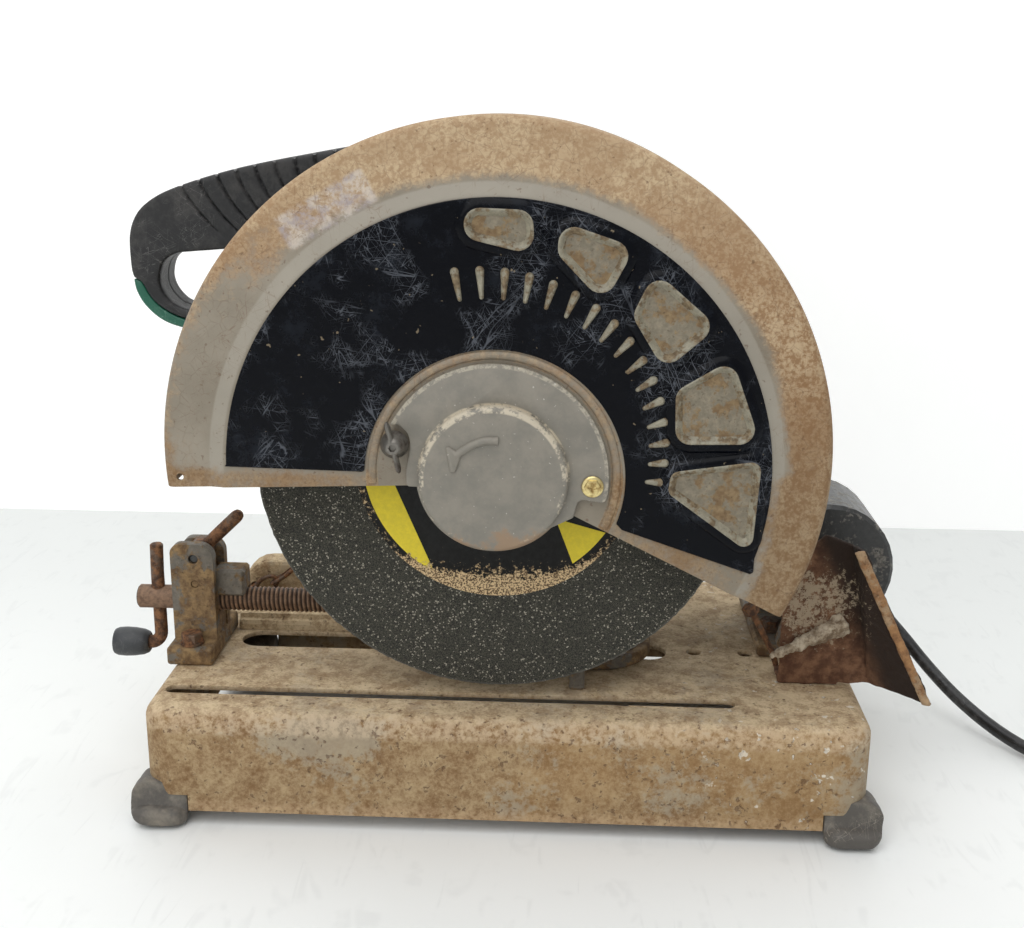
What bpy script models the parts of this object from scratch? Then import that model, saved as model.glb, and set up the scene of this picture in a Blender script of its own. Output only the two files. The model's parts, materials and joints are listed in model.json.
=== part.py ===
"""Abrasive chop saw: pressed-steel base with a quick vise, and a lifting head with a guarded wheel.

Machine frame used for every number below (metres): the origin is where the wheel spindle's axis
meets the outer face of the wheel guard, +X points to the hinge and the spark side, +Y points from
the guard to the motor, +Z points up.  FRAME_SHIFT moves that frame so that the finished saw stands
on z = 0 with its footprint, its cord aside, centred on the origin.
"""
import math

import bmesh
import bpy
from mathutils import Matrix, Vector

# ---- Whole machine -------------------------------------------------------------------------
SPINDLE_HEIGHT = 0.226          # spindle axis above the floor, head locked down
FRAME_SHIFT = (-0.0027, -0.12325, SPINDLE_HEIGHT)     # centres the saw without its cord
GAP = 0.0003                    # clearance kept between touching pieces

# ---- Base pan ------------------------------------------------------------------------------
BASE_LEFT, BASE_RIGHT = -0.214, 0.225
BASE_DEPTH = 0.250
BASE_BOTTOM, BASE_TOP = -0.2166, -0.1515
SHEET = 0.003
SLOT_Y, SLOT_WIDTH = 0.033, 0.011
FOOT_NOTCH = 0.028
FOOT_RISE = 0.0186

# ---- Wheel, guard and drive ------------------------------------------------------------------
WHEEL_Y = 0.033                 # middle plane of the wheel
WHEEL_RADIUS = 0.1425           # a 355 mm wheel, well worn
WHEEL_THICKNESS = 0.003
GUARD_RADIUS = 0.188
GUARD_CENTRE_Z = 0.007
GUARD_DEPTH = 0.058
GUARD_OPEN_FROM, GUARD_OPEN_TO = 183.5, 333.5      # degrees, the wedge with no guard
PANEL_RADIUS = 0.152
HUB_RADIUS = 0.0707
DRUM_RADIUS = 0.0417
GEAR_TEETH, PINION_TEETH, GEAR_MODULE = 44, 12, 0.0025
SHAFT_DISTANCE = GEAR_MODULE * (GEAR_TEETH + PINION_TEETH) / 2
MOTOR_ANGLE = math.radians(49.5)
MOTOR_X = SHAFT_DISTANCE * math.cos(MOTOR_ANGLE)
MOTOR_Z = SHAFT_DISTANCE * math.sin(MOTOR_ANGLE)
BRUSH_Y = 0.212                 # where the two brush caps stand on the motor housing
COVER_SCREW = (0.0551, -0.0039)
WING_BOLT = (-0.0549, 0.0182)
LOCK_PIN = (-0.034, -0.030)

# ---- Head hinge ------------------------------------------------------------------------------
HINGE_X, HINGE_Z = 0.212, -0.094
HINGE_BOSS_RADIUS = 0.044
BOSS_FRONT, BOSS_BACK = 0.119, 0.189

# ---- Vise ------------------------------------------------------------------------------------
SCREW_Y, SCREW_Z, SCREW_RADIUS = 0.100, -0.117, 0.0083
HOLDER_LEFT, HOLDER_RIGHT = -0.2155, -0.1855
LEVER_X, LEVER_Z = -0.1995, -0.0845
NUT_PIN_X, NUT_PIN_Z = -0.1993, -0.1015
JAW_PIVOT_X = -0.049
FENCE_PIVOT = (0.062, 0.112)
CHAIN_EYE = (-0.1845, 0.1880, -0.1380)

# ---- Handle ----------------------------------------------------------------------------------
HANDLE_Y, HANDLE_HALF = 0.125, 0.017
LOCK_BUTTON = (-0.185, 0.128)

# ---- Power cord ------------------------------------------------------------------------------
CORD_DIAMETER = 0.009
CORD_FLOOR = -SPINDLE_HEIGHT + CORD_DIAMETER / 2 + GAP
CORD_EXIT = (0.258, 0.2055, -0.1395)
CORD_DIRECTION = (0.66, -0.02, -0.75)
CORD_ROUTE = [CORD_EXIT, (0.2675, 0.2050, -0.1510), (0.2790, 0.2030, -0.1640), (0.2900, 0.1985, -0.1760),
              (0.3035, 0.1850, -0.1905), (0.3185, 0.1655, -0.2035), (0.3350, 0.1430, -0.2130),
              (0.3520, 0.1215, -0.2187), (0.3720, 0.1010, CORD_FLOOR), (0.3950, 0.0830, CORD_FLOOR),
              (0.4210, 0.0700, CORD_FLOOR), (0.4480, 0.0640, CORD_FLOOR), (0.4700, 0.0629, CORD_FLOOR)]
COIL_CENTRE = (0.470, 0.132)
COIL_OUTER, COIL_INNER, COIL_HEIGHT = 0.0643, 0.0365, 0.0185
TAIL_ROUTE = [(0.4880, 0.1990, -0.2160), (0.4745, 0.2022, -0.2160), (0.4600, 0.2035, -0.2160),
              (0.4500, 0.2035, -0.2160), (0.4399, 0.2035, -0.2160)]
PLUG_FACE = (0.4395, 0.2035, -0.2160)

OBJECTS = {}
MATERIALS = {}
PALETTE = {
    "rusty_steel": ((0.42, 0.31, 0.22), 0.85, 0.4),
    "cast_iron": ((0.30, 0.26, 0.21), 0.8, 0.5),
    "guard_paint": ((0.34, 0.31, 0.27), 0.65, 0.3),
    "head_casting": ((0.16, 0.16, 0.16), 0.5, 0.4),
    "black_panel": ((0.02, 0.025, 0.03), 0.35, 0.0),
    "cover_paint": ((0.26, 0.25, 0.23), 0.55, 0.3),
    "abrasive": ((0.05, 0.05, 0.048), 0.95, 0.0),
    "bright_steel": ((0.45, 0.45, 0.44), 0.35, 1.0),
    "zinc": ((0.62, 0.55, 0.36), 0.4, 1.0),
    "brown_steel": ((0.16, 0.10, 0.06), 0.8, 0.5),
    "chute_steel": ((0.09, 0.06, 0.045), 0.9, 0.3),
    "handle_rubber": ((0.03, 0.03, 0.03), 0.7, 0.0),
    "green_plastic": ((0.01, 0.22, 0.15), 0.45, 0.0),
    "foot_rubber": ((0.10, 0.10, 0.10), 0.75, 0.0),
    "motor_plastic": ((0.03, 0.05, 0.045), 0.45, 0.0),
    "copper": ((0.55, 0.30, 0.18), 0.4, 1.0),
    "cord_rubber": ((0.02, 0.02, 0.02), 0.6, 0.0),
}


# ---- Scene and material helpers ----------------------------------------------------------------
def clear_scene():
    for old in list(bpy.data.objects):
        bpy.data.objects.remove(old, do_unlink=True)


def make_material(name):
    colour, roughness, metallic = PALETTE[name]
    mat = bpy.data.materials.new(name)
    mat.use_nodes = True
    shader = mat.node_tree.nodes["Principled BSDF"]
    shader.inputs["Base Color"].default_value = (*colour, 1.0)
    shader.inputs["Roughness"].default_value = roughness
    shader.inputs["Metallic"].default_value = metallic
    return mat


# ---- Shape helpers: each returns a loose object whose mesh is in the machine frame --------------
def loose(bm, name="shape"):
    bmesh.ops.recalc_face_normals(bm, faces=bm.faces)
    mesh = bpy.data.meshes.new(name)
    bm.to_mesh(mesh)
    bm.free()
    obj = bpy.data.objects.new(name, mesh)
    bpy.context.collection.objects.link(obj)
    return obj


def axis_point(axis, a, b, along):
    """A point from two cross-section coordinates and one along the axis."""
    return {"X": (along, a, b), "Y": (a, along, b), "Z": (a, b, along)}[axis]


def prism(outline, axis, low, high, bevel=0.0, steps=2):
    """An outline of (a, b) points extruded along an axis, with its end rims bevelled."""
    bm = bmesh.new()
    rings = [[bm.verts.new(axis_point(axis, a, b, end)) for a, b in outline] for end in (low, high)]
    bm.faces.new(rings[0])
    bm.faces.new(rings[1][::-1])
    count = len(outline)
    for i in range(count):
        j = (i + 1) % count
        bm.faces.new((rings[0][i], rings[1][i], rings[1][j], rings[0][j]))
    bmesh.ops.recalc_face_normals(bm, faces=bm.faces)
    if bevel:
        ends = set(rings[0]), set(rings[1])
        rim = [e for e in bm.edges if set(e.verts) <= ends[0] or set(e.verts) <= ends[1]]
        bmesh.ops.bevel(bm, geom=rim, offset=bevel, segments=steps, profile=0.5, affect="EDGES")
    return loose(bm)


def circle(a, b, radius, count=24, start=0.0):
    return [(a + radius * math.cos(start + math.tau * i / count),
             b + radius * math.sin(start + math.tau * i / count)) for i in range(count)]


def arc(a, b, radius, from_deg, to_deg, count):
    angles = [math.radians(from_deg + (to_deg - from_deg) * i / count) for i in range(count + 1)]
    return [(a + radius * math.cos(t), b + radius * math.sin(t)) for t in angles]


def hull(points):
    """Convex outline around the points, anticlockwise."""
    points = sorted(set(points))

    def half(items):
        chain = []
        for p in items:
            while len(chain) > 1 and ((chain[-1][0] - chain[-2][0]) * (p[1] - chain[-2][1])
                                      - (chain[-1][1] - chain[-2][1]) * (p[0] - chain[-2][0])) <= 1e-12:
                chain.pop()
            chain.append(p)
        return chain[:-1]
    return half(points) + half(points[::-1])


def box(low, high, bevel=0.0, steps=2):
    bm = bmesh.new()
    bmesh.ops.create_cube(bm, size=1.0)
    centre = [(a + b) / 2 for a, b in zip(low, high)]
    size = [b - a for a, b in zip(low, high)]
    bmesh.ops.transform(bm, matrix=Matrix.Translation(centre) @ Matrix.Diagonal((*size, 1.0)), verts=bm.verts)
    if bevel:
        bmesh.ops.bevel(bm, geom=bm.edges[:], offset=bevel, segments=steps, profile=0.5, affect="EDGES")
    return loose(bm)


def turned(profile, axis, centre, count=24):
    """A profile of (radius, along) points turned about an axis; an open profile starts and ends at r = 0."""
    bm = bmesh.new()
    rings = []
    for radius, along in profile:
        if radius < 1e-9:
            rings.append([bm.verts.new(axis_point(axis, centre[0], centre[1], along))])
        else:
            rings.append([bm.verts.new(axis_point(axis, a, b, along))
                          for a, b in circle(centre[0], centre[1], radius, count)])
    closed = len(rings[0]) > 1
    pairs = list(zip(rings, rings[1:])) + ([(rings[-1], rings[0])] if closed else [])
    for first, second in pairs:
        for i in range(count):
            j = (i + 1) % count
            corners = [first[i % len(first)], first[j % len(first)],
                       second[j % len(second)], second[i % len(second)]]
            bm.faces.new(list(dict.fromkeys(corners)))
    return loose(bm)


def rod(axis, centre, radius, low, high, count=16, bevel=0.0):
    """A solid cylinder with chamfered ends."""
    chamfer = bevel or radius * 0.08
    return turned([(0, low), (radius - chamfer, low), (radius, low + chamfer), (radius, high - chamfer),
                   (radius - chamfer, high), (0, high)], axis, centre, count)


def ring(axis, centre, outer, inner, low, high, count=32):
    return turned([(inner, low), (outer, low), (outer, high), (inner, high)], axis, centre, count)


def slot_outline(x_from, x_to, y, width, count=5):
    radius = width / 2
    return (arc(x_to - radius, y, radius, -90, 90, count) + arc(x_from + radius, y, radius, 90, 270, count))


def sweep(points, radius, sides=10):
    """A closed round bar along a path of points."""
    path = [Vector(p) for p in points]
    tangents = []
    for i in range(len(path)):
        before, after = path[max(i - 1, 0)], path[min(i + 1, len(path) - 1)]
        tangents.append((after - before).normalized())
    side = tangents[0].orthogonal().normalized()
    bm = bmesh.new()
    rings = []
    for point, tangent in zip(path, tangents):
        side = (side - tangent * side.dot(tangent)).normalized()
        up = tangent.cross(side)
        rings.append([bm.verts.new(point + radius * (math.cos(t) * side + math.sin(t) * up))
                      for t in (math.tau * k / sides for k in range(sides))])
    bm.faces.new(rings[0])
    bm.faces.new(rings[-1][::-1])
    for first, second in zip(rings, rings[1:]):
        for k in range(sides):
            n = (k + 1) % sides
            bm.faces.new((first[k], second[k], second[n], first[n]))
    return loose(bm)


def smooth_path(points, steps):
    """Catmull-Rom points through a hand-chosen route."""
    path = [Vector(p) for p in points]
    padded = [2 * path[0] - path[1]] + path + [2 * path[-1] - path[-2]]
    result = []
    for p0, p1, p2, p3 in zip(padded, padded[1:], padded[2:], padded[3:]):
        for k in range(steps):
            t = k / steps
            result.append(0.5 * (2 * p1 + (p2 - p0) * t + (2 * p0 - 5 * p1 + 4 * p2 - p3) * t * t
                                 + (3 * p1 - p0 - 3 * p2 + p3) * t * t * t))
    return result + [path[-1]]


def aim(shape, direction, position):
    """Turns a shape built along +Z at the origin to a direction, and moves it to a position."""
    turn = Vector((0, 0, 1)).rotation_difference(Vector(direction)).to_matrix().to_4x4()
    shape.data.transform(Matrix.Translation(position) @ turn)
    return shape


def combine(body, tools, operation):
    """Applies exact booleans to a loose object and deletes the tools."""
    for tool in tools:
        modifier = body.modifiers.new(operation.lower(), "BOOLEAN")
        modifier.operation = operation
        modifier.solver = "EXACT"
        modifier.object = tool
    bpy.context.view_layer.update()
    result = bpy.data.meshes.new_from_object(body.evaluated_get(bpy.context.evaluated_depsgraph_get()))
    body.modifiers.clear()
    body.data = result
    for tool in tools:
        bpy.data.objects.remove(tool, do_unlink=True)
    return body


def cut(body, *tools):
    return combine(body, tools, "DIFFERENCE")


def join(body, *tools):
    return combine(body, tools, "UNION")


def finish(name, obj, material, pivot=(0.0, 0.0, 0.0), smooth=35):
    """Names the piece, puts its origin on its pivot and moves it to its place on the floor."""
    bm = bmesh.new()
    bm.from_mesh(obj.data)
    bmesh.ops.remove_doubles(bm, verts=bm.verts, dist=1e-6)
    bmesh.ops.dissolve_degenerate(bm, edges=bm.edges, dist=1e-6)
    bmesh.ops.translate(bm, verts=bm.verts, vec=-Vector(pivot))
    bm.to_mesh(obj.data)
    bm.free()
    obj.name = name
    obj.data.name = name
    obj.location = Vector(pivot) + Vector(FRAME_SHIFT)
    obj.data.materials.clear()
    obj.data.materials.append(MATERIALS[material])
    obj.data.shade_smooth()
    obj.data.set_sharp_from_angle(angle=math.radians(smooth))
    OBJECTS[name] = obj
    return obj


def hex_bolt(axis, centre, seat, head, shank, shank_end, washer=1.9):
    """A hexagon bolt with its washer: it sits on `seat` and its shank runs to `shank_end`.

    `shank` is the shank's radius and `washer` is the washer's radius in shank radii.
    """
    way = 1 if shank_end < seat else -1
    radius = shank * 1.75
    bolt = turned([(0, seat), (shank * washer, seat), (shank * washer, seat + way * 0.0016),
                   (0, seat + way * 0.0016)], axis, centre, 16)
    top = prism(circle(centre[0], centre[1], radius, 6), axis,
                *sorted((seat + way * 0.0010, seat + way * head)), bevel=0.0006, steps=1)
    stem = rod(axis, centre, shank, *sorted((seat + way * 0.0005, shank_end)), count=12)
    return join(bolt, top, stem)


# ---- Base group ----------------------------------------------------------------------------------
def fixing_bolts():
    """Each bolt through the base's top: its x, y and the thickness of the foot that it holds down."""
    return {"vise_bolt_front": (-0.2005, 0.0745, 0.012), "vise_bolt_rear": (-0.2005, 0.1265, 0.012),
            "fence_pivot_bolt": (*FENCE_PIVOT, 0.008), "bracket_bolt_front": (0.1800, 0.1320, 0.008),
            "bracket_bolt_rear": (0.1800, 0.1780, 0.008), "chute_bolt": (0.1900, 0.0790, 0.003)}


def base_pan():
    outer = box((BASE_LEFT, 0, BASE_BOTTOM), (BASE_RIGHT, BASE_DEPTH, BASE_TOP))
    inner = box((BASE_LEFT + SHEET, SHEET, BASE_BOTTOM - 0.02),
                (BASE_RIGHT - SHEET, BASE_DEPTH - SHEET, BASE_TOP - SHEET))
    for shape, corner, rim in ((outer, 0.020, 0.009), (inner, 0.017, 0.006)):
        round_pan(shape, corner, rim)
    pan = cut(outer, inner)
    tools = [prism(slot_outline(-0.206, 0.146, SLOT_Y, SLOT_WIDTH), "Z", BASE_TOP - 0.01, BASE_TOP + 0.01),
             prism(slot_outline(-0.178, 0.020, 0.114, 0.026), "Z", BASE_TOP - 0.01, BASE_TOP + 0.01)]
    for x in (0.127, 0.161):
        tools.append(prism(circle(x, 0.110, 0.0052, 10), "Z", BASE_TOP - 0.01, BASE_TOP + 0.01))
    for x, y, _ in fixing_bolts().values():
        tools.append(prism(circle(x, y, 0.0045, 8), "Z", BASE_TOP - 0.01, BASE_TOP + 0.01))
    for x in (BASE_LEFT - 0.01, BASE_RIGHT - FOOT_NOTCH):
        for y in (-0.01, BASE_DEPTH - FOOT_NOTCH):
            tools.append(box((x, y, BASE_BOTTOM - 0.01),
                             (x + FOOT_NOTCH + 0.01, y + FOOT_NOTCH + 0.01, BASE_BOTTOM + FOOT_RISE)))
    finish("base_pan", cut(pan, *tools), "rusty_steel")


def round_pan(shape, corner, rim):
    """Rounds a box's four upright edges, then the rim of its top."""
    bm = bmesh.new()
    bm.from_mesh(shape.data)
    upright = [e for e in bm.edges if abs(e.verts[0].co.z - e.verts[1].co.z) > 0.001]
    bmesh.ops.bevel(bm, geom=upright, offset=corner, segments=3, profile=0.5, affect="EDGES")
    top = max(v.co.z for v in bm.verts)
    edges = [e for e in bm.edges if all(abs(v.co.z - top) < 1e-6 for v in e.verts)]
    bmesh.ops.bevel(bm, geom=edges, offset=rim, segments=2, profile=0.5, affect="EDGES")
    bm.to_mesh(shape.data)
    bm.free()


def rubber_feet():
    out, inside = 0.009, FOOT_NOTCH - GAP
    low, high = -SPINDLE_HEIGHT, BASE_BOTTOM + FOOT_RISE - GAP
    for side, x_edge, x_way in (("left", BASE_LEFT, 1), ("right", BASE_RIGHT, -1)):
        for end, y_edge, y_way in (("front", 0.0, 1), ("rear", BASE_DEPTH, -1)):
            xs = sorted((x_edge - x_way * out, x_edge + x_way * inside))
            ys = sorted((y_edge - y_way * out, y_edge + y_way * inside))
            foot = box((xs[0], ys[0], low), (xs[1], ys[1], high), bevel=0.0045, steps=2)
            finish(f"foot_{end}_{side}", foot, "foot_rubber")


def guide_rail():
    y, z = 0.1285, BASE_TOP + GAP
    profile = [(y, z), (y + 0.018, z), (y + 0.018, z + 0.008), (y + 0.015, z + 0.0102), (y + 0.0045, z + 0.0102),
               (y + 0.0035, z + 0.0072), (y + 0.001, z + 0.0064), (y, z + 0.004)]
    finish("guide_rail", prism(profile, "X", -0.184, -0.092, bevel=0.0008, steps=1), "rusty_steel")


def hinge_bracket():
    z = BASE_TOP + GAP
    foot = box((0.168, 0.104, z), (0.222, 0.2045, z + 0.008), bevel=0.0015, steps=1)
    ears = []
    for y in (0.1065, 0.1915):
        outline = hull(circle(HINGE_X, HINGE_Z, 0.018, 16) + [(0.180, z + 0.004), (0.2215, z + 0.004)])
        ears.append(prism(outline, "Y", y, y + 0.0105))
    bracket = join(foot, *ears)
    holes = [rod("Y", (HINGE_X, HINGE_Z), 0.0093, 0.09, 0.22, 16)]
    for name in ("bracket_bolt_front", "bracket_bolt_rear"):
        x, y, _ = fixing_bolts()[name]
        holes.append(rod("Z", (x, y), 0.0045, z - 0.01, z + 0.02, 12))
    finish("hinge_bracket", cut(bracket, *holes), "cast_iron")
    pin = turned([(0, 0.1025), (0.0125, 0.1025), (0.0125, 0.1062), (0.009, 0.1062), (0.009, 0.205),
                  (0.0078, 0.2065), (0, 0.2065)], "Y", (HINGE_X, HINGE_Z), 16)
    finish("hinge_shaft", pin, "bright_steel")


def torsion_spring():
    turns, points, coil_radius, wire = 5.5, 12, 0.0235, 0.0026
    count = int(turns * points)
    path = []
    for i in range(count + 1):
        angle = math.tau * i / points
        path.append((HINGE_X + coil_radius * math.cos(angle), 0.134 + 0.044 * i / count,
                     HINGE_Z + coil_radius * math.sin(angle)))
    finish("torsion_spring", sweep(path, wire, 5), "bright_steel")


def base_bolts():
    for name, (x, y, plate) in fixing_bolts().items():
        seat = BASE_TOP + GAP + plate + GAP
        finish(name, hex_bolt("Z", (x, y), seat, 0.0075, 0.0040, BASE_TOP - 0.009), "brown_steel")


def fence():
    z = BASE_TOP + GAP
    foot = prism(circle(*FENCE_PIVOT, 0.036, 36), "Z", z, z + 0.008, bevel=0.001, steps=1)
    plate = box((0.044, 0.046, z), (0.054, 0.117, z + 0.053), bevel=0.0012, steps=1)
    rib = prism([(0.0535, z + 0.006), (0.080, z + 0.006), (0.0535, z + 0.040)], "Y", 0.0845, 0.0895)
    solid = join(foot, plate, rib)
    x, y = FENCE_PIVOT
    hole = rod("Z", (x, y), 0.0043, z - 0.01, z + 0.03, 12)
    slot = prism(arc(x, y, 0.030, -60, -15, 6) + arc(x, y, 0.023, -15, -60, 6), "Z", z - 0.01, z + 0.02)
    finish("fence", cut(solid, hole, slot), "cast_iron", pivot=(x, y, z))


def chain_bracket():
    z = BASE_TOP + GAP
    outline = ([(-0.193, z), (-0.122, z)] + arc(-0.142, z + 0.012, 0.020, 0, 90, 5)
               + arc(-0.173, z + 0.012, 0.020, 90, 180, 5))
    body = prism(outline, "Y", 0.178, 0.198, bevel=0.003, steps=2)
    eye = rod("Y", (CHAIN_EYE[0], CHAIN_EYE[2]), 0.0030, 0.15, 0.22, 12)
    finish("chain_bracket", cut(body, eye), "cast_iron")


def chain_link():
    """The hold-down chain's end link: a long ring of wire through the bracket's eye and round its end."""
    x, y, z = CHAIN_EYE
    bend, half, wire = 0.0065, 0.0120, 0.0019
    outline = (arc(x - bend, y + half, bend, 0, 180, 8) + arc(x - bend, y - half, bend, 180, 360, 8))
    count = len(outline)
    bm = bmesh.new()
    rings = []
    for i, (px, py) in enumerate(outline):
        before, after = outline[i - 1], outline[(i + 1) % count]
        out = Vector((after[1] - before[1], before[0] - after[0], 0)).normalized()
        up = Vector((0, 0, 1))
        rings.append([bm.verts.new(Vector((px, py, z)) + wire * (math.cos(t) * out + math.sin(t) * up))
                      for t in (math.tau * k / 6 for k in range(6))])
    for first, second in zip(rings, rings[1:] + rings[:1]):
        for k in range(6):
            n = (k + 1) % 6
            bm.faces.new((first[k], first[n], second[n], second[k]))
    finish("chain_link", loose(bm), "brown_steel")


def spark_chute():
    """Bent sheet: an upright back plate, a slanted end plate and a folded front lip."""
    back, front, foot = 0.066, 0.036, BASE_TOP + GAP
    plate = [(0.176, back, foot), (0.233, back, foot), (0.216, back, -0.060), (0.200, back, -0.054),
             (0.176, back, -0.072)]
    fold_top, fold_low = (0.2165, front, -0.053), (0.264, front, -0.1515)
    lip_top, lip_low = (0.2105, front - 0.0002, -0.0545), (0.2585, front - 0.0002, -0.1515)
    tab = [(0.176, 0.088, foot), (0.204, 0.088, foot), (0.204, back, foot)]
    bm = bmesh.new()
    verts = {p: bm.verts.new(p) for p in plate + tab + [fold_top, fold_low, lip_top, lip_low]}
    bm.faces.new([verts[p] for p in (plate[0], tab[2], plate[1], plate[2], plate[3], plate[4])])
    bm.faces.new([verts[p] for p in (plate[1], fold_low, fold_top, plate[2])])
    bm.faces.new([verts[p] for p in (fold_low, lip_low, lip_top, fold_top)])
    bm.faces.new([verts[p] for p in (plate[0], tab[0], tab[1], tab[2])])
    sheet = loose(bm)
    thick = sheet.modifiers.new("thickness", "SOLIDIFY")
    thick.thickness = 0.0026
    thick.offset = 0.0
    thick.use_even_offset = True
    combine(sheet, [], "DIFFERENCE")
    sheet.data.transform(Matrix.Translation((0, 0, 0.0013)))
    x, y, _ = fixing_bolts()["chute_bolt"]
    hole = rod("Z", (x, y), 0.0045, foot - 0.01, foot + 0.01, 12)
    finish("spark_chute", cut(sheet, hole), "chute_steel")
    stay = sweep([(0.1590, 0.0780, -0.1085), (0.1660, 0.0780, -0.1215), (0.1735, 0.0785, -0.1360),
                  (0.1765, 0.0790, -0.1450)], 0.0019, 8)
    head = aim(rod("Z", (0, 0), 0.0052, -0.003, 0.003, 6), (0.47, 0, -0.88), (0.1583, 0.0780, -0.1072))
    finish("chute_stay", join(stay, head), "brown_steel")


def vise_holder():
    z = BASE_TOP + GAP
    left, right = HOLDER_LEFT, HOLDER_RIGHT
    foot = box((left, 0.066, z), (right, 0.134, z + 0.012), bevel=0.0015, steps=1)
    cheeks = []
    for y, top in ((0.0830, -0.0745), (0.1095, -0.0790)):
        outline = ([(left + 0.001, z + 0.006), (right - 0.001, z + 0.006)]
                   + arc(right - 0.0125, top - 0.011, 0.011, 0, 90, 4)
                   + arc(left + 0.0125, top - 0.011, 0.011, 90, 180, 4))
        cheeks.append(prism(outline, "Y", y, y + 0.0075, bevel=0.001, steps=1))
    saddle = box((left + 0.002, 0.0900, z + 0.006), (right - 0.002, 0.1100, SCREW_Z - 0.004))
    holder = join(foot, *cheeks, saddle)
    holes = [rod("X", (SCREW_Y, SCREW_Z), SCREW_RADIUS + 0.0004, left - 0.01, right + 0.01, 20),
             rod("Y", (LEVER_X, LEVER_Z), 0.0032, 0.07, 0.13, 12),
             rod("Y", (NUT_PIN_X, NUT_PIN_Z), 0.0026, 0.07, 0.13, 12)]
    for name in ("vise_bolt_front", "vise_bolt_rear"):
        x, y, _ = fixing_bolts()[name]
        holes.append(rod("Z", (x, y), 0.0045, z - 0.01, z + 0.02, 12))
    finish("vise_holder", cut(holder, *holes), "cast_iron")


def vise_clutch():
    eye = join(rod("Y", (LEVER_X, LEVER_Z), 0.0078, 0.0912, 0.1088, 20),
               rod("Y", (LEVER_X, LEVER_Z), 0.0029, 0.0838, 0.1165, 12))
    along = Vector((0.72, 0, 0.69)).normalized()
    start = Vector((LEVER_X, 0.100, LEVER_Z))
    arm = turned([(0, 0.004), (0.0042, 0.004), (0.0042, 0.035), (0.0036, 0.0376), (0.002, 0.0392), (0, 0.0396)],
                 "Z", (0, 0), 12)
    aim(arm, along, start)
    finish("clutch_lever", join(eye, arm), "brown_steel", pivot=(LEVER_X, 0.100, LEVER_Z))
    hub = rod("Y", (NUT_PIN_X, NUT_PIN_Z), 0.0055, 0.0914, 0.1086, 16)
    trunnion = rod("Y", (NUT_PIN_X, NUT_PIN_Z), 0.0023, 0.0838, 0.1165, 12)
    arm = box((NUT_PIN_X, 0.0914, -0.1068), (-0.186, 0.1086, -0.0972))
    block = box((-0.1895, 0.0912, -0.1125), (-0.1690, 0.1088, -0.0945), bevel=0.0016, steps=1)
    nut = join(hub, trunnion, arm, block)
    groove = rod("X", (SCREW_Y, SCREW_Z), SCREW_RADIUS + 0.0004, -0.22, -0.16, 20)
    finish("clutch_nut", cut(nut, groove), "cast_iron", pivot=(NUT_PIN_X, 0.100, NUT_PIN_Z))


def vise_screw():
    axis = (SCREW_Y, SCREW_Z)
    bar = turned([(0, -0.2420), (0.0070, -0.2420), (0.0078, -0.2410), (0.0078, -0.2175),
                  (SCREW_RADIUS, -0.2165), (SCREW_RADIUS, -0.0640), (0.0050, -0.0632), (0.0050, -0.0460),
                  (0, -0.0460)], "X", axis, 20)
    hole = rod("Z", (-0.2290, SCREW_Y), 0.0046, SCREW_Z - 0.02, SCREW_Z + 0.02, 14)
    finish("vise_screw", cut(bar, hole), "brown_steel", pivot=(-0.2290, SCREW_Y, SCREW_Z))
    bend = 0.0072
    route = [(-0.2290, SCREW_Y, -0.0800), (-0.2290, SCREW_Y, -0.1500 + bend)]
    route += [(-0.2290 - bend * (1 - math.cos(t)), SCREW_Y, -0.1500 + bend * (1 - math.sin(t)))
              for t in (math.radians(a) for a in (22, 45, 68, 90))]
    route += [(-0.2560, SCREW_Y, -0.1500)]
    finish("crank_rod", sweep(route, 0.0043, 12), "brown_steel", pivot=(-0.2290, SCREW_Y, SCREW_Z))
    knob = turned([(0, -0.2564), (0.0046, -0.2564), (0.0046, -0.2370), (0.0068, -0.2372), (0.0086, -0.2400),
                   (0.0097, -0.2480), (0.0092, -0.2585), (0.0078, -0.2605), (0, -0.2608)],
                  "X", (SCREW_Y, -0.1500), 20)
    finish("crank_knob", knob, "foot_rubber", pivot=(-0.2290, SCREW_Y, SCREW_Z))


def vise_jaw():
    pivot = (JAW_PIVOT_X, SCREW_Y)
    block = box((-0.0618, 0.0895, -0.1280), (-0.0365, 0.1105, -0.1040), bevel=0.001, steps=1)
    yoke = join(block, rod("Z", pivot, 0.0047, -0.1360, -0.0960, 14))
    bore = rod("X", (SCREW_Y, SCREW_Z), 0.0053, -0.070, -0.0457, 14)
    finish("jaw_yoke", cut(yoke, bore), "cast_iron", pivot=(JAW_PIVOT_X, SCREW_Y, SCREW_Z))
    plate = box((-0.0300, 0.056, -0.1400), (-0.0200, 0.144, -0.0860), bevel=0.0015, steps=1)
    lugs = [prism(hull(circle(*pivot, 0.0095, 16) + [(-0.026, 0.086), (-0.026, 0.114)]), "Z", low, low + 0.0052)
            for low in (-0.1337, -0.1036)]
    jaw = cut(join(plate, *lugs), rod("Z", pivot, 0.0050, -0.15, -0.08, 14))
    finish("vise_jaw", jaw, "cast_iron", pivot=(JAW_PIVOT_X, SCREW_Y, SCREW_Z))


# ---- Head group ----------------------------------------------------------------------------------
def open_wedge(low, high, grow=0.0):
    """The wedge below the guard, seen from the spindle."""
    far = 0.35
    first, last = math.radians(GUARD_OPEN_FROM - grow), math.radians(GUARD_OPEN_TO + grow)
    angles = [first + (last - first) * i / 4 for i in range(5)]
    outline = [(0.0, 0.0)] + [(far * math.cos(t), far * math.sin(t)) for t in angles]
    return prism(outline, "Y", low, high)


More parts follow.
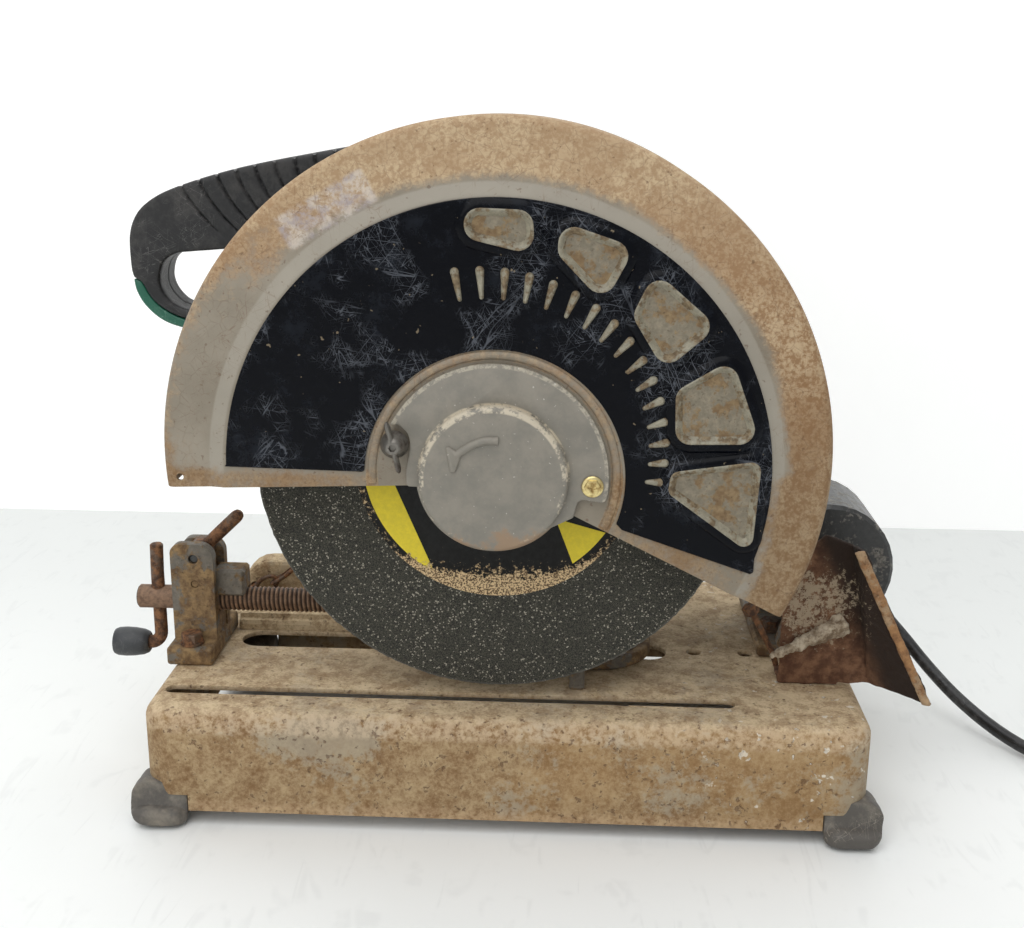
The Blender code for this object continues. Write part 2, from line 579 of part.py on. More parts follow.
def wheel_guard():
    r, wall, centre = GUARD_RADIUS, 0.002, (0.0, GUARD_CENTRE_Z)
    profile = [(0, 0), (r - 0.0035, 0), (r - 0.001, 0.001), (r, 0.0035), (r, GUARD_DEPTH), (r - wall, GUARD_DEPTH),
               (r - wall, 0.0042), (r - wall - 0.002, wall), (0, wall)]
    guard = turned(profile, "Y", centre, 64)
    tools = [open_wedge(-0.05, 0.10), prism(circle(0, 0, 0.034, 24), "Y", -0.02, 0.02),
             prism(circle(*COVER_SCREW, 0.0028, 8), "Y", -0.02, 0.02)]
    finish("wheel_guard", cut(guard, *tools), "guard_paint")
    back = prism(circle(*centre, r, 64), "Y", GUARD_DEPTH + GAP, GUARD_DEPTH + 0.0033)
    hole = prism(circle(0, 0, 0.0440, 32), "Y", 0.04, 0.08)
    finish("guard_back", cut(back, open_wedge(0.04, 0.10), hole), "head_casting")


def panel_windows():
    """Angle, inner and outer radius and half angle of the five framed windows."""
    return [(88.5, 0.1235, 0.1450, 7.0), (66.0, 0.1120, 0.1465, 7.4), (43.0, 0.1060, 0.1475, 8.4),
            (19.0, 0.1010, 0.1480, 8.6), (-5.5, 0.0985, 0.1485, 9.2)]


def guard_panel():
    inner, outer, thick = HUB_RADIUS + 0.0023, PANEL_RADIUS, 0.0016
    outline = arc(0, 0, outer, -22.0, 179.5, 44) + arc(0, 0, inner, 178.5, -20.0, 28)
    panel = prism(outline, "Y", -GAP - thick, -GAP)
    tools = []
    for angle, near, far, half in panel_windows():
        tools.append(prism(arc(0, 0, far, angle - half, angle + half, 4)
                           + arc(0, 0, near, angle + half * 0.86, angle - half * 0.86, 4), "Y", -0.01, 0.005))
    finish("guard_panel", cut(panel, *tools), "black_panel")


def sub_cover():
    front, plate_back, plate_front = -0.0105, -GAP, -0.0030
    disc = prism(circle(0, 0, HUB_RADIUS, 40), "Y", plate_front, plate_back)
    keep = prism([(-0.2, -0.0065), (0.2, -0.0065), (0.2, 0.2), (-0.2, 0.2)], "Y", -0.05, 0.05)
    combine(disc, [keep], "INTERSECT")
    ear = prism(circle(*COVER_SCREW, 0.0135, 16), "Y", plate_front, plate_back)
    drum = turned([(0, front), (DRUM_RADIUS - 0.002, front), (DRUM_RADIUS, front + 0.002), (DRUM_RADIUS, plate_back),
                   (DRUM_RADIUS - 0.003, plate_back), (DRUM_RADIUS - 0.003, front + 0.003), (0, front + 0.003)],
                  "Y", (0, 0), 32)
    core = prism(circle(0, 0, DRUM_RADIUS - 0.003, 32), "Y", front + 0.003, 0.01)
    cover = join(cut(join(disc, ear), core), drum)
    holes = [rod("Y", COVER_SCREW, 0.0031, -0.02, 0.02, 12), rod("Y", WING_BOLT, 0.0037, -0.02, 0.02, 12)]
    finish("sub_cover", cut(cover, *holes), "cover_paint", pivot=(COVER_SCREW[0], 0, COVER_SCREW[1]))
    screw = join(turned([(0, -0.0052), (0.0040, -0.0052), (0.0058, -0.0042), (0.0058, plate_front - GAP),
                         (0, plate_front - GAP)], "Y", COVER_SCREW, 16),
                 rod("Y", COVER_SCREW, 0.0025, plate_front - 0.001, 0.012, 10))
    finish("cover_screw", screw, "zinc")


def wing_bolt():
    x, z = WING_BOLT
    seat = -0.0030 - GAP
    body = turned([(0, -0.0125), (0.0050, -0.0125), (0.0062, -0.0110), (0.0066, seat), (0.0033, seat),
                   (0.0033, -GAP), (0, -GAP)], "Y", WING_BOLT, 16)
    wings = []
    for way in (1, -1):
        outline = [(x - 0.0018, z + way * 0.004), (x + 0.0018, z + way * 0.004), (x + 0.0030, z + way * 0.0095),
                   (x + 0.0022, z + way * 0.0150), (x - 0.0022, z + way * 0.0150), (x - 0.0030, z + way * 0.0095)]
        wings.append(prism(outline, "Y", -0.0145, -0.0070, bevel=0.0008, steps=1))
    finish("wing_bolt", join(body, *wings), "bright_steel", pivot=(x, 0, z))


def gear_case():
    front, back = 0.0673, 0.119
    arm_root = (0.070, -0.045)
    block = prism(hull(circle(0, 0, 0.066, 36) + circle(MOTOR_X, MOTOR_Z, 0.055, 36) + circle(*arm_root, 0.028, 16)),
                  "Y", front, back, bevel=0.002, steps=1)
    arm = prism(hull(circle(*arm_root, 0.0265, 16) + circle(HINGE_X, HINGE_Z, 0.030, 16)), "Y", 0.108, 0.1850,
                bevel=0.004, steps=1)
    arm = cut(arm, box((0.172, 0.05, -0.20), (0.30, BOSS_FRONT + 0.0005, 0.05)))
    boss = rod("Y", (HINGE_X, HINGE_Z), HINGE_BOSS_RADIUS, BOSS_FRONT, BOSS_BACK, 32, bevel=0.0025)
    solid = join(block, arm, boss)
    cavity = prism(hull(circle(0, 0, 0.0605, 32) + circle(MOTOR_X, MOTOR_Z, 0.0225, 20)), "Y", front - 0.01, 0.112)
    tools = [cavity,
             rod("Y", (MOTOR_X, MOTOR_Z), 0.0115, 0.10, 0.13, 20),
             rod("Y", (0, 0), 0.0078, 0.105, 0.1165, 24),
             rod("Y", LOCK_PIN, 0.0042, 0.10, 0.13, 12),
             turned([(0, 0.09), (0.0094, 0.09), (0.0094, 0.127), (0.0345, 0.127), (0.0345, 0.22), (0, 0.22)],
                    "Y", (HINGE_X, HINGE_Z), 28)]
    finish("gear_case", cut(solid, *tools), "head_casting", pivot=(HINGE_X, 0, HINGE_Z))


def bearing_plate():
    plate = turned([(0.0120, 0.0500), (0.0400, 0.0500), (0.0430, 0.0520), (0.0430, 0.0616), (0.0600, 0.0616),
                    (0.0600, 0.0670), (0.0173, 0.0670), (0.0173, 0.0555), (0.0120, 0.0555)], "Y", (0, 0), 28)
    finish("bearing_plate", plate, "head_casting")
    finish("spindle_bearing", ring("Y", (0, 0), 0.0170, 0.0103, 0.0558, 0.0668, 28), "bright_steel")


def spindle_group():
    axis = (0, 0)
    spindle = turned([(0, 0.0280), (0.0100, 0.0280), (0.0100, 0.0300), (0.0124, 0.0300), (0.0124, 0.0357),
                      (0.0100, 0.0357), (0.0100, 0.0850), (0.0118, 0.0850), (0.0118, 0.1070), (0.0075, 0.1070),
                      (0.0075, 0.1158), (0, 0.1158)], "Y", axis, 20)
    finish("spindle", cut(spindle, rod("Y", axis, 0.0053, 0.01, 0.052, 10)), "bright_steel")
    low, high = WHEEL_Y - WHEEL_THICKNESS / 2, WHEEL_Y + WHEEL_THICKNESS / 2
    finish("abrasive_wheel", ring("Y", axis, WHEEL_RADIUS, 0.0127, low, high, 60), "abrasive")
    back = turned([(0.0103, 0.0360), (0.0300, 0.0360), (0.0330, high + GAP), (0.0400, high + GAP), (0.0400, 0.0385),
                   (0.0200, 0.0440), (0.0103, 0.0440)], "Y", axis, 24)
    finish("inner_flange", back, "bright_steel")
    front = turned([(0.0103, 0.0290), (0.0300, 0.0290), (0.0330, low - GAP), (0.0400, low - GAP), (0.0400, 0.0280),
                    (0.0220, 0.0245), (0.0103, 0.0245)], "Y", axis, 24)
    finish("outer_flange", front, "bright_steel")
    finish("wheel_bolt", hex_bolt("Y", axis, 0.0242, 0.0090, 0.0050, 0.0480, washer=3.0), "bright_steel")
    gear = gear_wheel(GEAR_TEETH, axis, 0.0880, 0.1040, MOTOR_ANGLE)
    finish("drive_gear", cut(gear, rod("Y", axis, 0.0121, 0.08, 0.11, 24)), "bright_steel")


def gear_wheel(teeth, centre, low, high, toward, gap_toward=False):
    """Spur gear whose tooth (or gap) points along `toward`."""
    pitch = GEAR_MODULE * teeth / 2
    root, tip = pitch - 1.15 * GEAR_MODULE, pitch + 0.6 * GEAR_MODULE
    step = math.tau / teeth
    start = toward + (step / 2 if gap_toward else 0.0)
    root_half, tip_half = 0.0021 / root, 0.0008 / tip
    outline = []
    for i in range(teeth):
        middle = start + i * step
        for radius, angle in ((root, middle - root_half), (tip, middle - tip_half), (tip, middle + tip_half),
                              (root, middle + root_half)):
            outline.append((centre[0] + radius * math.cos(angle), centre[1] + radius * math.sin(angle)))
    return prism(outline, "Y", low, high)


def armature_group():
    axis = (MOTOR_X, MOTOR_Z)
    shaft = turned([(0, 0.0850), (0.0068, 0.0850), (0.0068, 0.1130), (0.0090, 0.1130), (0.0090, 0.1230),
                    (0.0440, 0.1240), (0.0440, 0.1320), (0.0140, 0.1340), (0.0140, 0.1420), (0.0285, 0.1440),
                    (0.0285, 0.1960), (0.0180, 0.2000), (0.0170, 0.2040), (0.0170, 0.2220), (0.0060, 0.2230),
                    (0.0060, 0.2370), (0, 0.2370)], "Y", axis, 18)
    pinion = gear_wheel(PINION_TEETH, axis, 0.0865, 0.1055, MOTOR_ANGLE + math.pi, gap_toward=True)
    finish("armature", join(shaft, pinion), "copper", pivot=(MOTOR_X, 0, MOTOR_Z))
    finish("stator", ring("Y", axis, 0.0450, 0.0310, 0.1420, 0.1980, 24), "head_casting")


def motor_housing():
    axis = (MOTOR_X, MOTOR_Z)
    shell = turned([(0.0465, 0.1193), (0.0535, 0.1193), (0.0535, 0.1260), (0.0515, 0.1290), (0.0505, 0.2000),
                    (0.0480, 0.2400), (0.0062, 0.2400), (0.0062, 0.2280), (0.0440, 0.2260), (0.0458, 0.2200)],
                   "Y", axis, 28)
    pockets = []
    for way in (1, -1):
        low, high = sorted((MOTOR_Z + way * 0.040, MOTOR_Z + way * 0.060))
        pockets.append(rod("Z", (MOTOR_X, BRUSH_Y), 0.0088, low, high, 16))
    finish("motor_housing", cut(shell, *pockets), "motor_plastic")
    for name, way in (("brush_cap_top", 1), ("brush_cap_bottom", -1)):
        low, high = sorted((MOTOR_Z + way * 0.0435, MOTOR_Z + way * 0.0512))
        cap = rod("Z", (MOTOR_X, BRUSH_Y), 0.0084, low, high, 16, bevel=0.001)
        finish(name, cap, "handle_rubber")
    tail = turned([(0, 0.2610), (0.0300, 0.2600), (0.0420, 0.2560), (0.0478, 0.2490), (0.0480, 0.2403),
                   (0.0445, 0.2403), (0.0440, 0.2480), (0.0390, 0.2530), (0.0290, 0.2565), (0, 0.2575)],
                  "Y", axis, 28)
    finish("motor_tail_cover", tail, "motor_plastic")


def spindle_lock():
    pin = turned([(0, 0.1085), (0.0038, 0.1085), (0.0038, 0.1250), (0.0070, 0.1250), (0.0070, 0.1310),
                  (0.0060, 0.1320), (0, 0.1320)], "Y", LOCK_PIN, 16)
    finish("spindle_lock", pin, "brown_steel")


def handle_outer():
    return [(-0.075, 0.178), (-0.120, 0.170), (-0.165, 0.161), (-0.205, 0.150), (-0.226, 0.142), (-0.237, 0.131),
            (-0.241, 0.115), (-0.2405, 0.0985), (-0.2365, 0.0965), (-0.2300, 0.0795), (-0.2200, 0.0695),
            (-0.2040, 0.0625), (-0.1725, 0.0570), (-0.1715, 0.0520), (-0.120, 0.048), (-0.075, 0.046)]


def handle_inner():
    return [(-0.205, 0.109), (-0.2130, 0.1045), (-0.2165, 0.0965), (-0.2165, 0.0880), (-0.2115, 0.0795),
            (-0.2020, 0.0740), (-0.170, 0.0690), (-0.128, 0.0660), (-0.1140, 0.0720), (-0.1100, 0.0840),
            (-0.1100, 0.1000), (-0.1160, 0.1130), (-0.1280, 0.1170), (-0.170, 0.1120)]


def d_handle():
    low, middle, high = HANDLE_Y - HANDLE_HALF, HANDLE_Y, HANDLE_Y + HANDLE_HALF
    halves = (("handle_front_shell", low, middle - GAP / 2), ("handle_rear_shell", middle + GAP / 2, high))
    for name, start, end in halves:
        shell = prism(handle_outer(), "Y", start, end)
        bevel_far_rim(shell, start if start == low else end)
        opening = prism(handle_inner(), "Y", start - 0.01, end + 0.01)
        pocket = prism([(-0.176, 0.105), (-0.124, 0.105), (-0.124, 0.136), (-0.176, 0.132)], "Y", 0.1170, 0.1330)
        tools = [opening, pocket]
        if name == "handle_rear_shell":
            tools.append(rod("Y", LOCK_BUTTON, 0.0062, 0.1330, 0.160, 16))
            tools.append(rod("Y", LOCK_BUTTON, 0.0040, 0.1200, 0.160, 12))
        if name == "handle_front_shell":
            shell = join(shell, box((-0.1080, 0.0616, 0.056), (-0.0780, low + 0.012, 0.160), bevel=0.002, steps=1))
        finish(name, cut(shell, *tools), "handle_rubber")
    strip = [(-0.2405, 0.0980), (-0.2395, 0.0880), (-0.2350, 0.0765), (-0.2220, 0.0645), (-0.2050, 0.0578),
             (-0.1722, 0.0515), (-0.1728, 0.0566), (-0.2041, 0.0621), (-0.2203, 0.0692), (-0.2303, 0.0793),
             (-0.2368, 0.0963)]
    finish("handle_lower_cover", prism(strip, "Y", low + 0.002, high - 0.002, bevel=0.0008, steps=1), "green_plastic")


def bevel_far_rim(shell, end):
    """Rounds the outer rim of one half of the handle."""
    bm = bmesh.new()
    bm.from_mesh(shell.data)
    rim = [e for e in bm.edges if all(abs(v.co.y - end) < 1e-6 for v in e.verts)]
    bmesh.ops.bevel(bm, geom=rim, offset=0.0035, segments=2, profile=0.5, affect="EDGES")
    bm.to_mesh(shell.data)
    bm.free()


def switch_parts():
    outline = [(-0.173, 0.1085), (-0.128, 0.1085), (-0.128, 0.1175), (-0.127, 0.1290), (-0.150, 0.1240),
               (-0.173, 0.1230)]
    finish("trigger", prism(outline, "Y", 0.1176, 0.1324, bevel=0.0012, steps=1), "handle_rubber",
           pivot=(-0.150, HANDLE_Y, 0.115))
    button = turned([(0, 0.1345), (0.0036, 0.1345), (0.0036, 0.1385), (0.0058, 0.1385), (0.0058, 0.1455),
                     (0.0048, 0.1465), (0, 0.1465)], "Y", LOCK_BUTTON, 16)
    finish("lock_button", button, "handle_rubber", pivot=(LOCK_BUTTON[0], 0.1400, LOCK_BUTTON[1]))


# ---- Power cord ----------------------------------------------------------------------------------
def cord_parts():
    """Sleeve on the hinge bracket, lead to the floor, wound coil, tail and plug."""
    direction = Vector(CORD_DIRECTION).normalized()
    sleeve = turned([(0, -0.034), (0.0080, -0.034), (0.0080, -0.026), (0.0068, -0.024), (0.0055, -GAP), (0, -GAP)],
                    "Z", (0, 0), 14)
    aim(sleeve, direction, CORD_EXIT)
    root = Vector(CORD_EXIT) - direction * 0.030
    clip = box((0.2222, 0.2022, root.z - 0.012), (root.x + 0.010, 0.2090, root.z + 0.009), bevel=0.001, steps=1)
    finish("cord_sleeve", join(sleeve, clip), "cord_rubber")
    cord_tube("cord_lead", CORD_ROUTE)
    cord_tube("cord_tail", TAIL_ROUTE)
    low = -SPINDLE_HEIGHT + GAP
    high, edge = low + COIL_HEIGHT, 0.003
    coil = turned([(COIL_INNER, low + edge), (COIL_INNER + edge, low), (COIL_OUTER - edge, low),
                   (COIL_OUTER, low + edge), (COIL_OUTER, high - edge), (COIL_OUTER - edge, high),
                   (COIL_INNER + edge, high), (COIL_INNER, high - edge)], "Z", COIL_CENTRE, 32)
    finish("cord_coil", coil, "cord_rubber")
    x, y, z = PLUG_FACE
    half_wide, half_high = 0.0135, 0.0095
    outline = [(y - half_wide, z - half_high), (y + half_wide, z - half_high), (y + half_wide, z + half_high),
               (y - half_wide, z + half_high)]
    body = prism(outline, "X", x - 0.034, x - 0.010, bevel=0.003, steps=1)
    neck = rod("X", (y, z), 0.0062, x - 0.014, x, 14)
    blades = [box((x - 0.052, y + s - 0.0008, z - 0.0032), (x - 0.030, y + s + 0.0008, z + 0.0032))
              for s in (-0.0063, 0.0063)]
    finish("plug", join(body, neck, *blades), "cord_rubber")


def cord_tube(name, route):
    curve = bpy.data.curves.new(name, "CURVE")
    curve.dimensions = "3D"
    curve.bevel_depth = CORD_DIAMETER / 2
    curve.bevel_resolution = 2
    curve.use_fill_caps = True
    points = smooth_path(route, 2)
    spline = curve.splines.new("POLY")
    spline.points.add(len(points) - 1)
    for target, point in zip(spline.points, points):
        target.co = (*point, 1.0)
    obj = bpy.data.objects.new(name, curve)
    obj.location = FRAME_SHIFT
    bpy.context.collection.objects.link(obj)
    curve.materials.append(MATERIALS["cord_rubber"])
    return obj


def build():
    clear_scene()
    for name in PALETTE:
        MATERIALS[name] = make_material(name)
    for make in (base_pan, rubber_feet, guide_rail, hinge_bracket, torsion_spring, base_bolts, fence, chain_bracket,
                 chain_link, spark_chute, vise_holder, vise_clutch, vise_screw, vise_jaw, wheel_guard, guard_panel,
                 sub_cover, wing_bolt, gear_case, bearing_plate, spindle_group, armature_group, motor_housing,
                 spindle_lock, d_handle, switch_parts, cord_parts):
        make()
    bpy.context.view_layer.update()


build()
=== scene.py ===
"""Looks of a well-worn abrasive chop saw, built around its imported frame.

Every shape is made in the machine frame (metres): the origin is where the wheel's axis meets the outer
face of the wheel guard, +X points to the hinge and the spark chute, +Y to the motor and +Z up.  SHIFT
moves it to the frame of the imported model, in which every mesh is stored.
"""
import json
import math
import random

import bmesh
import bpy
from mathutils import Matrix, Vector, noise


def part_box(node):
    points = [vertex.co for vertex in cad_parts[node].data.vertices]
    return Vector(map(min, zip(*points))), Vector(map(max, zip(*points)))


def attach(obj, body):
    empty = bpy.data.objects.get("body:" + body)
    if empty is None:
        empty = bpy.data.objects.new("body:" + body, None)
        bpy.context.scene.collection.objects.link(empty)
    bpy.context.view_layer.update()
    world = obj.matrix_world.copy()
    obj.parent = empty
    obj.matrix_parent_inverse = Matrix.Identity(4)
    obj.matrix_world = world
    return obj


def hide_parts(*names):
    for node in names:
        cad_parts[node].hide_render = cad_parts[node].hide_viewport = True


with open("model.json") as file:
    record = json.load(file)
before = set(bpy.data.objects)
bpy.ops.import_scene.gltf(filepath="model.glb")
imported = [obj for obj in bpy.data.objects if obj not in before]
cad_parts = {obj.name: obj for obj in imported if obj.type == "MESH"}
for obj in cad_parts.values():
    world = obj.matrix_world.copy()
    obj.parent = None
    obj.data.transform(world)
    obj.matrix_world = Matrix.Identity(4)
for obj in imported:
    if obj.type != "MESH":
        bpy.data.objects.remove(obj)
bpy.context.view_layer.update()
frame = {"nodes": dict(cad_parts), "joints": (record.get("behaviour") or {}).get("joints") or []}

# ---- Places taken from the frame
JOINTS = {joint["name"]: joint for joint in frame["joints"]}
SPINDLE = JOINTS["wheel_spin"]["pos_m"]
SHIFT = Vector((SPINDLE[0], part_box("wheel_guard")[0].y, SPINDLE[2]))


def span(node):
    """Lowest and highest corner of a CAD node in the machine frame."""
    low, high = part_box(node)
    return low - SHIFT, high - SHIFT


FLOOR_Z = -SHIFT.z
GUARD_LOW, GUARD_HIGH = span("wheel_guard")
GUARD_RADIUS = (GUARD_HIGH.x - GUARD_LOW.x) / 2
GUARD_CENTRE = (0.0, GUARD_HIGH.z - GUARD_RADIUS)
GUARD_DEPTH = GUARD_HIGH.y
WHEEL_LOW, WHEEL_HIGH = span("abrasive_wheel")
WHEEL_RADIUS = (WHEEL_HIGH.x - WHEEL_LOW.x) / 2
PAN_LOW, PAN_HIGH = span("base_pan")
SHEET = 0.003
CORNER_STEPS = 6
PANEL_FACE = span("guard_panel")[0].y
COVER_BACK, COVER_FACE = -0.0016, -0.0042
DRUM_FACE = span("sub_cover")[0].y
DRUM_RADIUS = 0.0417
COVER_SCREW = (0.0551, -0.0039)
WING_BOLT = (-0.0549, 0.0182)
SCREW_Y, SCREW_Z, SCREW_RADIUS = 0.1, -0.117, 0.0083
LEVER_PIVOT = (-0.1995, -0.0845)
MOTOR = (0.04546, 0.05323)
HINGE = (JOINTS["head_pivot"]["pos_m"][0] - SHIFT.x, JOINTS["head_pivot"]["pos_m"][2] - SHIFT.z)

# ---- Power cord
CORD_DIAMETER = 0.009
CORD_FLOOR = FLOOR_Z + CORD_DIAMETER / 2 + 0.0003
CORD_ROUTE = [(0.258, 0.2055, -0.1395), (0.2675, 0.205, -0.151), (0.279, 0.203, -0.164),
              (0.29, 0.1985, -0.176), (0.3035, 0.185, -0.1905), (0.3185, 0.1655, -0.2035),
              (0.335, 0.143, -0.213), (0.352, 0.1215, -0.2187), (0.372, 0.101, CORD_FLOOR),
              (0.395, 0.083, CORD_FLOOR), (0.421, 0.07, CORD_FLOOR), (0.448, 0.064, CORD_FLOOR),
              (0.47, 0.0629, CORD_FLOOR)]
COIL_CENTRE = (0.47, 0.132)
COIL_RADII = (0.0597, 0.0503, 0.0409)
COIL_LAYER = 0.0093
TAIL_ROUTE = [(0.488, 0.199, -0.216), (0.4745, 0.2022, -0.216), (0.46, 0.2035, -0.216),
              (0.45, 0.2035, -0.216), (0.4399, 0.2035, -0.216)]


# ---- Shape helpers: the solids are loose objects in the machine frame
def placed(name, data):
    """A new object in the scene."""
    obj = bpy.data.objects.new(name, data)
    bpy.context.collection.objects.link(obj)
    return obj


def loose(bm):
    bmesh.ops.recalc_face_normals(bm, faces=bm.faces)
    mesh = bpy.data.meshes.new("shape")
    bm.to_mesh(mesh)
    bm.free()
    return placed("shape", mesh)


def axis_point(axis, a, b, along):
    """A point from two cross-section coordinates and one along the axis."""
    return {"X": (along, a, b), "Y": (a, along, b), "Z": (a, b, along)}[axis]


def loft(rings, loop=False):
    """Skin over rings that have the same number of points, closed by end caps or into a loop."""
    bm = bmesh.new()
    made = [[bm.verts.new(p) for p in points] for points in rings]
    pairs = list(zip(made, made[1:]))
    if loop:
        pairs.append((made[-1], made[0]))
    else:
        bm.faces.new(made[0])
        bm.faces.new(made[-1][::-1])
    for first, second in pairs:
        for k in range(len(first)):
            n = (k + 1) % len(first)
            bm.faces.new((first[k], second[k], second[n], first[n]))
    return loose(bm)


def prism(outline, axis, low, high):
    return loft([[axis_point(axis, a, b, end) for a, b in outline] for end in (low, high)])


def circle(a, b, radius, count):
    return [(a + radius * math.cos(math.tau * i / count), b + radius * math.sin(math.tau * i / count))
            for i in range(count)]


def arc(a, b, radius, from_deg, to_deg, count):
    angles = [math.radians(from_deg + (to_deg - from_deg) * i / count) for i in range(count + 1)]
    return [(a + radius * math.cos(t), b + radius * math.sin(t)) for t in angles]


def polar(radius, degrees):
    return radius * math.cos(math.radians(degrees)), radius * math.sin(math.radians(degrees))


def ease(value, low, high):
    """0 below `low`, 1 above `high` and a smooth step between."""
    t = min(max((value - low) / (high - low), 0.0), 1.0)
    return t * t * (3 - 2 * t)


def turned(profile, axis, centre, count):
    """A profile of (radius, along) points turned about an axis; an open profile starts and ends at r = 0."""
    bm = bmesh.new()
    rings = []
    for radius, along in profile:
        if radius < 1e-9:
            rings.append([bm.verts.new(axis_point(axis, centre[0], centre[1], along))])
        else:
            rings.append([bm.verts.new(axis_point(axis, a, b, along))
                          for a, b in circle(centre[0], centre[1], radius, count)])
    closed = len(rings[0]) > 1
    pairs = list(zip(rings, rings[1:])) + ([(rings[-1], rings[0])] if closed else [])
    for first, second in pairs:
        for i in range(count):
            j = (i + 1) % count
            corners = [first[i % len(first)], first[j % len(first)],
                       second[j % len(second)], second[i % len(second)]]
            bm.faces.new(list(dict.fromkeys(corners)))
    return loose(bm)


def rod(axis, centre, radius, low, high, count=32, bevel=0.0):
    chamfer = bevel or radius * 0.1
    return turned([(0, low), (radius - chamfer, low), (radius, low + chamfer), (radius, high - chamfer),
                   (radius - chamfer, high), (0, high)], axis, centre, count)


def box(low, high, bevel=0.0, steps=3):
    bm = bmesh.new()
    bmesh.ops.create_cube(bm, size=1.0)
    centre = [(a + b) / 2 for a, b in zip(low, high)]
    size = [b - a for a, b in zip(low, high)]
    bmesh.ops.transform(bm, matrix=Matrix.Translation(centre) @ Matrix.Diagonal((*size, 1.0)), verts=bm.verts)
    if bevel:
        bmesh.ops.bevel(bm, geom=bm.edges[:], offset=bevel, segments=steps, profile=0.5, affect="EDGES")
    return loose(bm)


def smooth_path(points, steps):
    """Catmull-Rom points through a given route."""
    path = [Vector(p) for p in points]
    padded = [2 * path[0] - path[1]] + path + [2 * path[-1] - path[-2]]
    result = []
    for p0, p1, p2, p3 in zip(padded, padded[1:], padded[2:], padded[3:]):
        for k in range(steps):
            t = k / steps
            result.append(0.5 * (2 * p1 + (p2 - p0) * t + (2 * p0 - 5 * p1 + 4 * p2 - p3) * t * t
                                 + (3 * p1 - p0 - 3 * p2 + p3) * t * t * t))
    return result + [path[-1]]


def smooth_outline(points, steps):
    return [(p.x, p.y) for p in smooth_path([(a, b, 0) for a, b in points], steps)]


def sweep(points, radius, sides, closed=False):
    """A round bar along a path; `radius` is one number or one for each point."""
    path = [Vector(p) for p in points]
    count = len(path)
    radii = radius if isinstance(radius, list) else [radius] * count
    side = None
    rings = []
    for i, point in enumerate(path):
        before = path[i - 1] if closed or i else path[0]
        after = path[(i + 1) % count] if closed or i < count - 1 else path[-1]
        tangent = (after - before).normalized()
        side = tangent.orthogonal() if side is None else side
        side = (side - tangent * side.dot(tangent)).normalized()
        up = tangent.cross(side)
        rings.append([point + radii[i] * (math.cos(t) * side + math.sin(t) * up)
                      for t in (math.tau * k / sides for k in range(sides))])
    return loft(rings, loop=closed)


def aim(shape, direction, position):
    """Turns a shape built along +Z at the origin to a direction, and moves it to a position."""
    turn = Vector((0, 0, 1)).rotation_difference(Vector(direction)).to_matrix().to_4x4()
    shape.data.transform(Matrix.Translation(position) @ turn)
    return shape


def applied(obj):
    """Replaces an object's mesh by the result of its modifiers."""
    bpy.context.view_layer.update()
    result = bpy.data.meshes.new_from_object(obj.evaluated_get(bpy.context.evaluated_depsgraph_get()))
    obj.modifiers.clear()
    obj.data = result
    return obj


def combine(body, tools, operation):
    for tool in tools:
        modifier = body.modifiers.new(operation.lower(), "BOOLEAN")
        modifier.operation = operation
        modifier.solver = "EXACT"
        modifier.object = tool
    applied(body)
    for tool in tools:
        bpy.data.objects.remove(tool, do_unlink=True)
    return body


def cut(body, *tools):
    return combine(body, tools, "DIFFERENCE")


def join(body, *tools):
    return combine(body, tools, "UNION")


def together(*shapes):
    """Several closed shells as one loose object."""
    bm = bmesh.new()
    for shape in shapes:
        bm.from_mesh(shape.data)
        bpy.data.objects.remove(shape, do_unlink=True)
    return loose(bm)


def polar_strip(profile, first, last, steps):
    """A closed (radius, y) profile swept about the wheel's axis between two angles in degrees."""
    rings = []
    for i in range(steps + 1):
        angle = first + (last - first) * i / steps
        rings.append([axis_point("Y", *polar(radius, angle), y) for radius, y in profile])
    return loft(rings)


def corner_walls(corners):
    """Each corner of a convex outline, with the inward normals of the two sides that meet there."""
    points = [Vector(c) for c in corners]
    middle = sum(points, Vector((0.0, 0.0))) / len(points)
    for i, corner in enumerate(points):
        after = points[(i + 1) % len(points)]
        yield corner, inward(points[i - 1], corner, middle), inward(corner, after, middle)


def moved_in(corner, first, second, distance):
    """Where the corner goes when both its sides move inwards by a distance."""
    return corner + (first + second) / (1 + first.dot(second)) * distance


def inward(start, end, middle):
    along = (end - start).normalized()
    normal = Vector((-along.y, along.x))
    return normal if normal.dot(middle - start) > 0 else -normal


def rounded(corners, radius):
    """Convex outline with round corners, each drawn with the same number of points."""
    outline = []
    for corner, first, second in corner_walls(corners):
        centre = moved_in(corner, first, second, radius)
        outline += [tuple(centre + (-first).slerp(-second, k / CORNER_STEPS) * radius)
                    for k in range(CORNER_STEPS + 1)]
    return outline


def offset_outline(corners, radius, distance):
    """The rounded outline moved inwards by a distance, at the same number of points."""
    inset = [moved_in(*walls, distance) for walls in corner_walls(corners)]
    return rounded(inset, max(radius - distance, 0.0006))


def stepped(corners, radius, profile, loop=False):
    """A rounded outline lofted through (inset, y) points: a solid, or with `loop` a frame."""
    rings = [[(a, y, b) for a, b in offset_outline(corners, radius, away)] for away, y in profile]
    return loft(rings, loop)


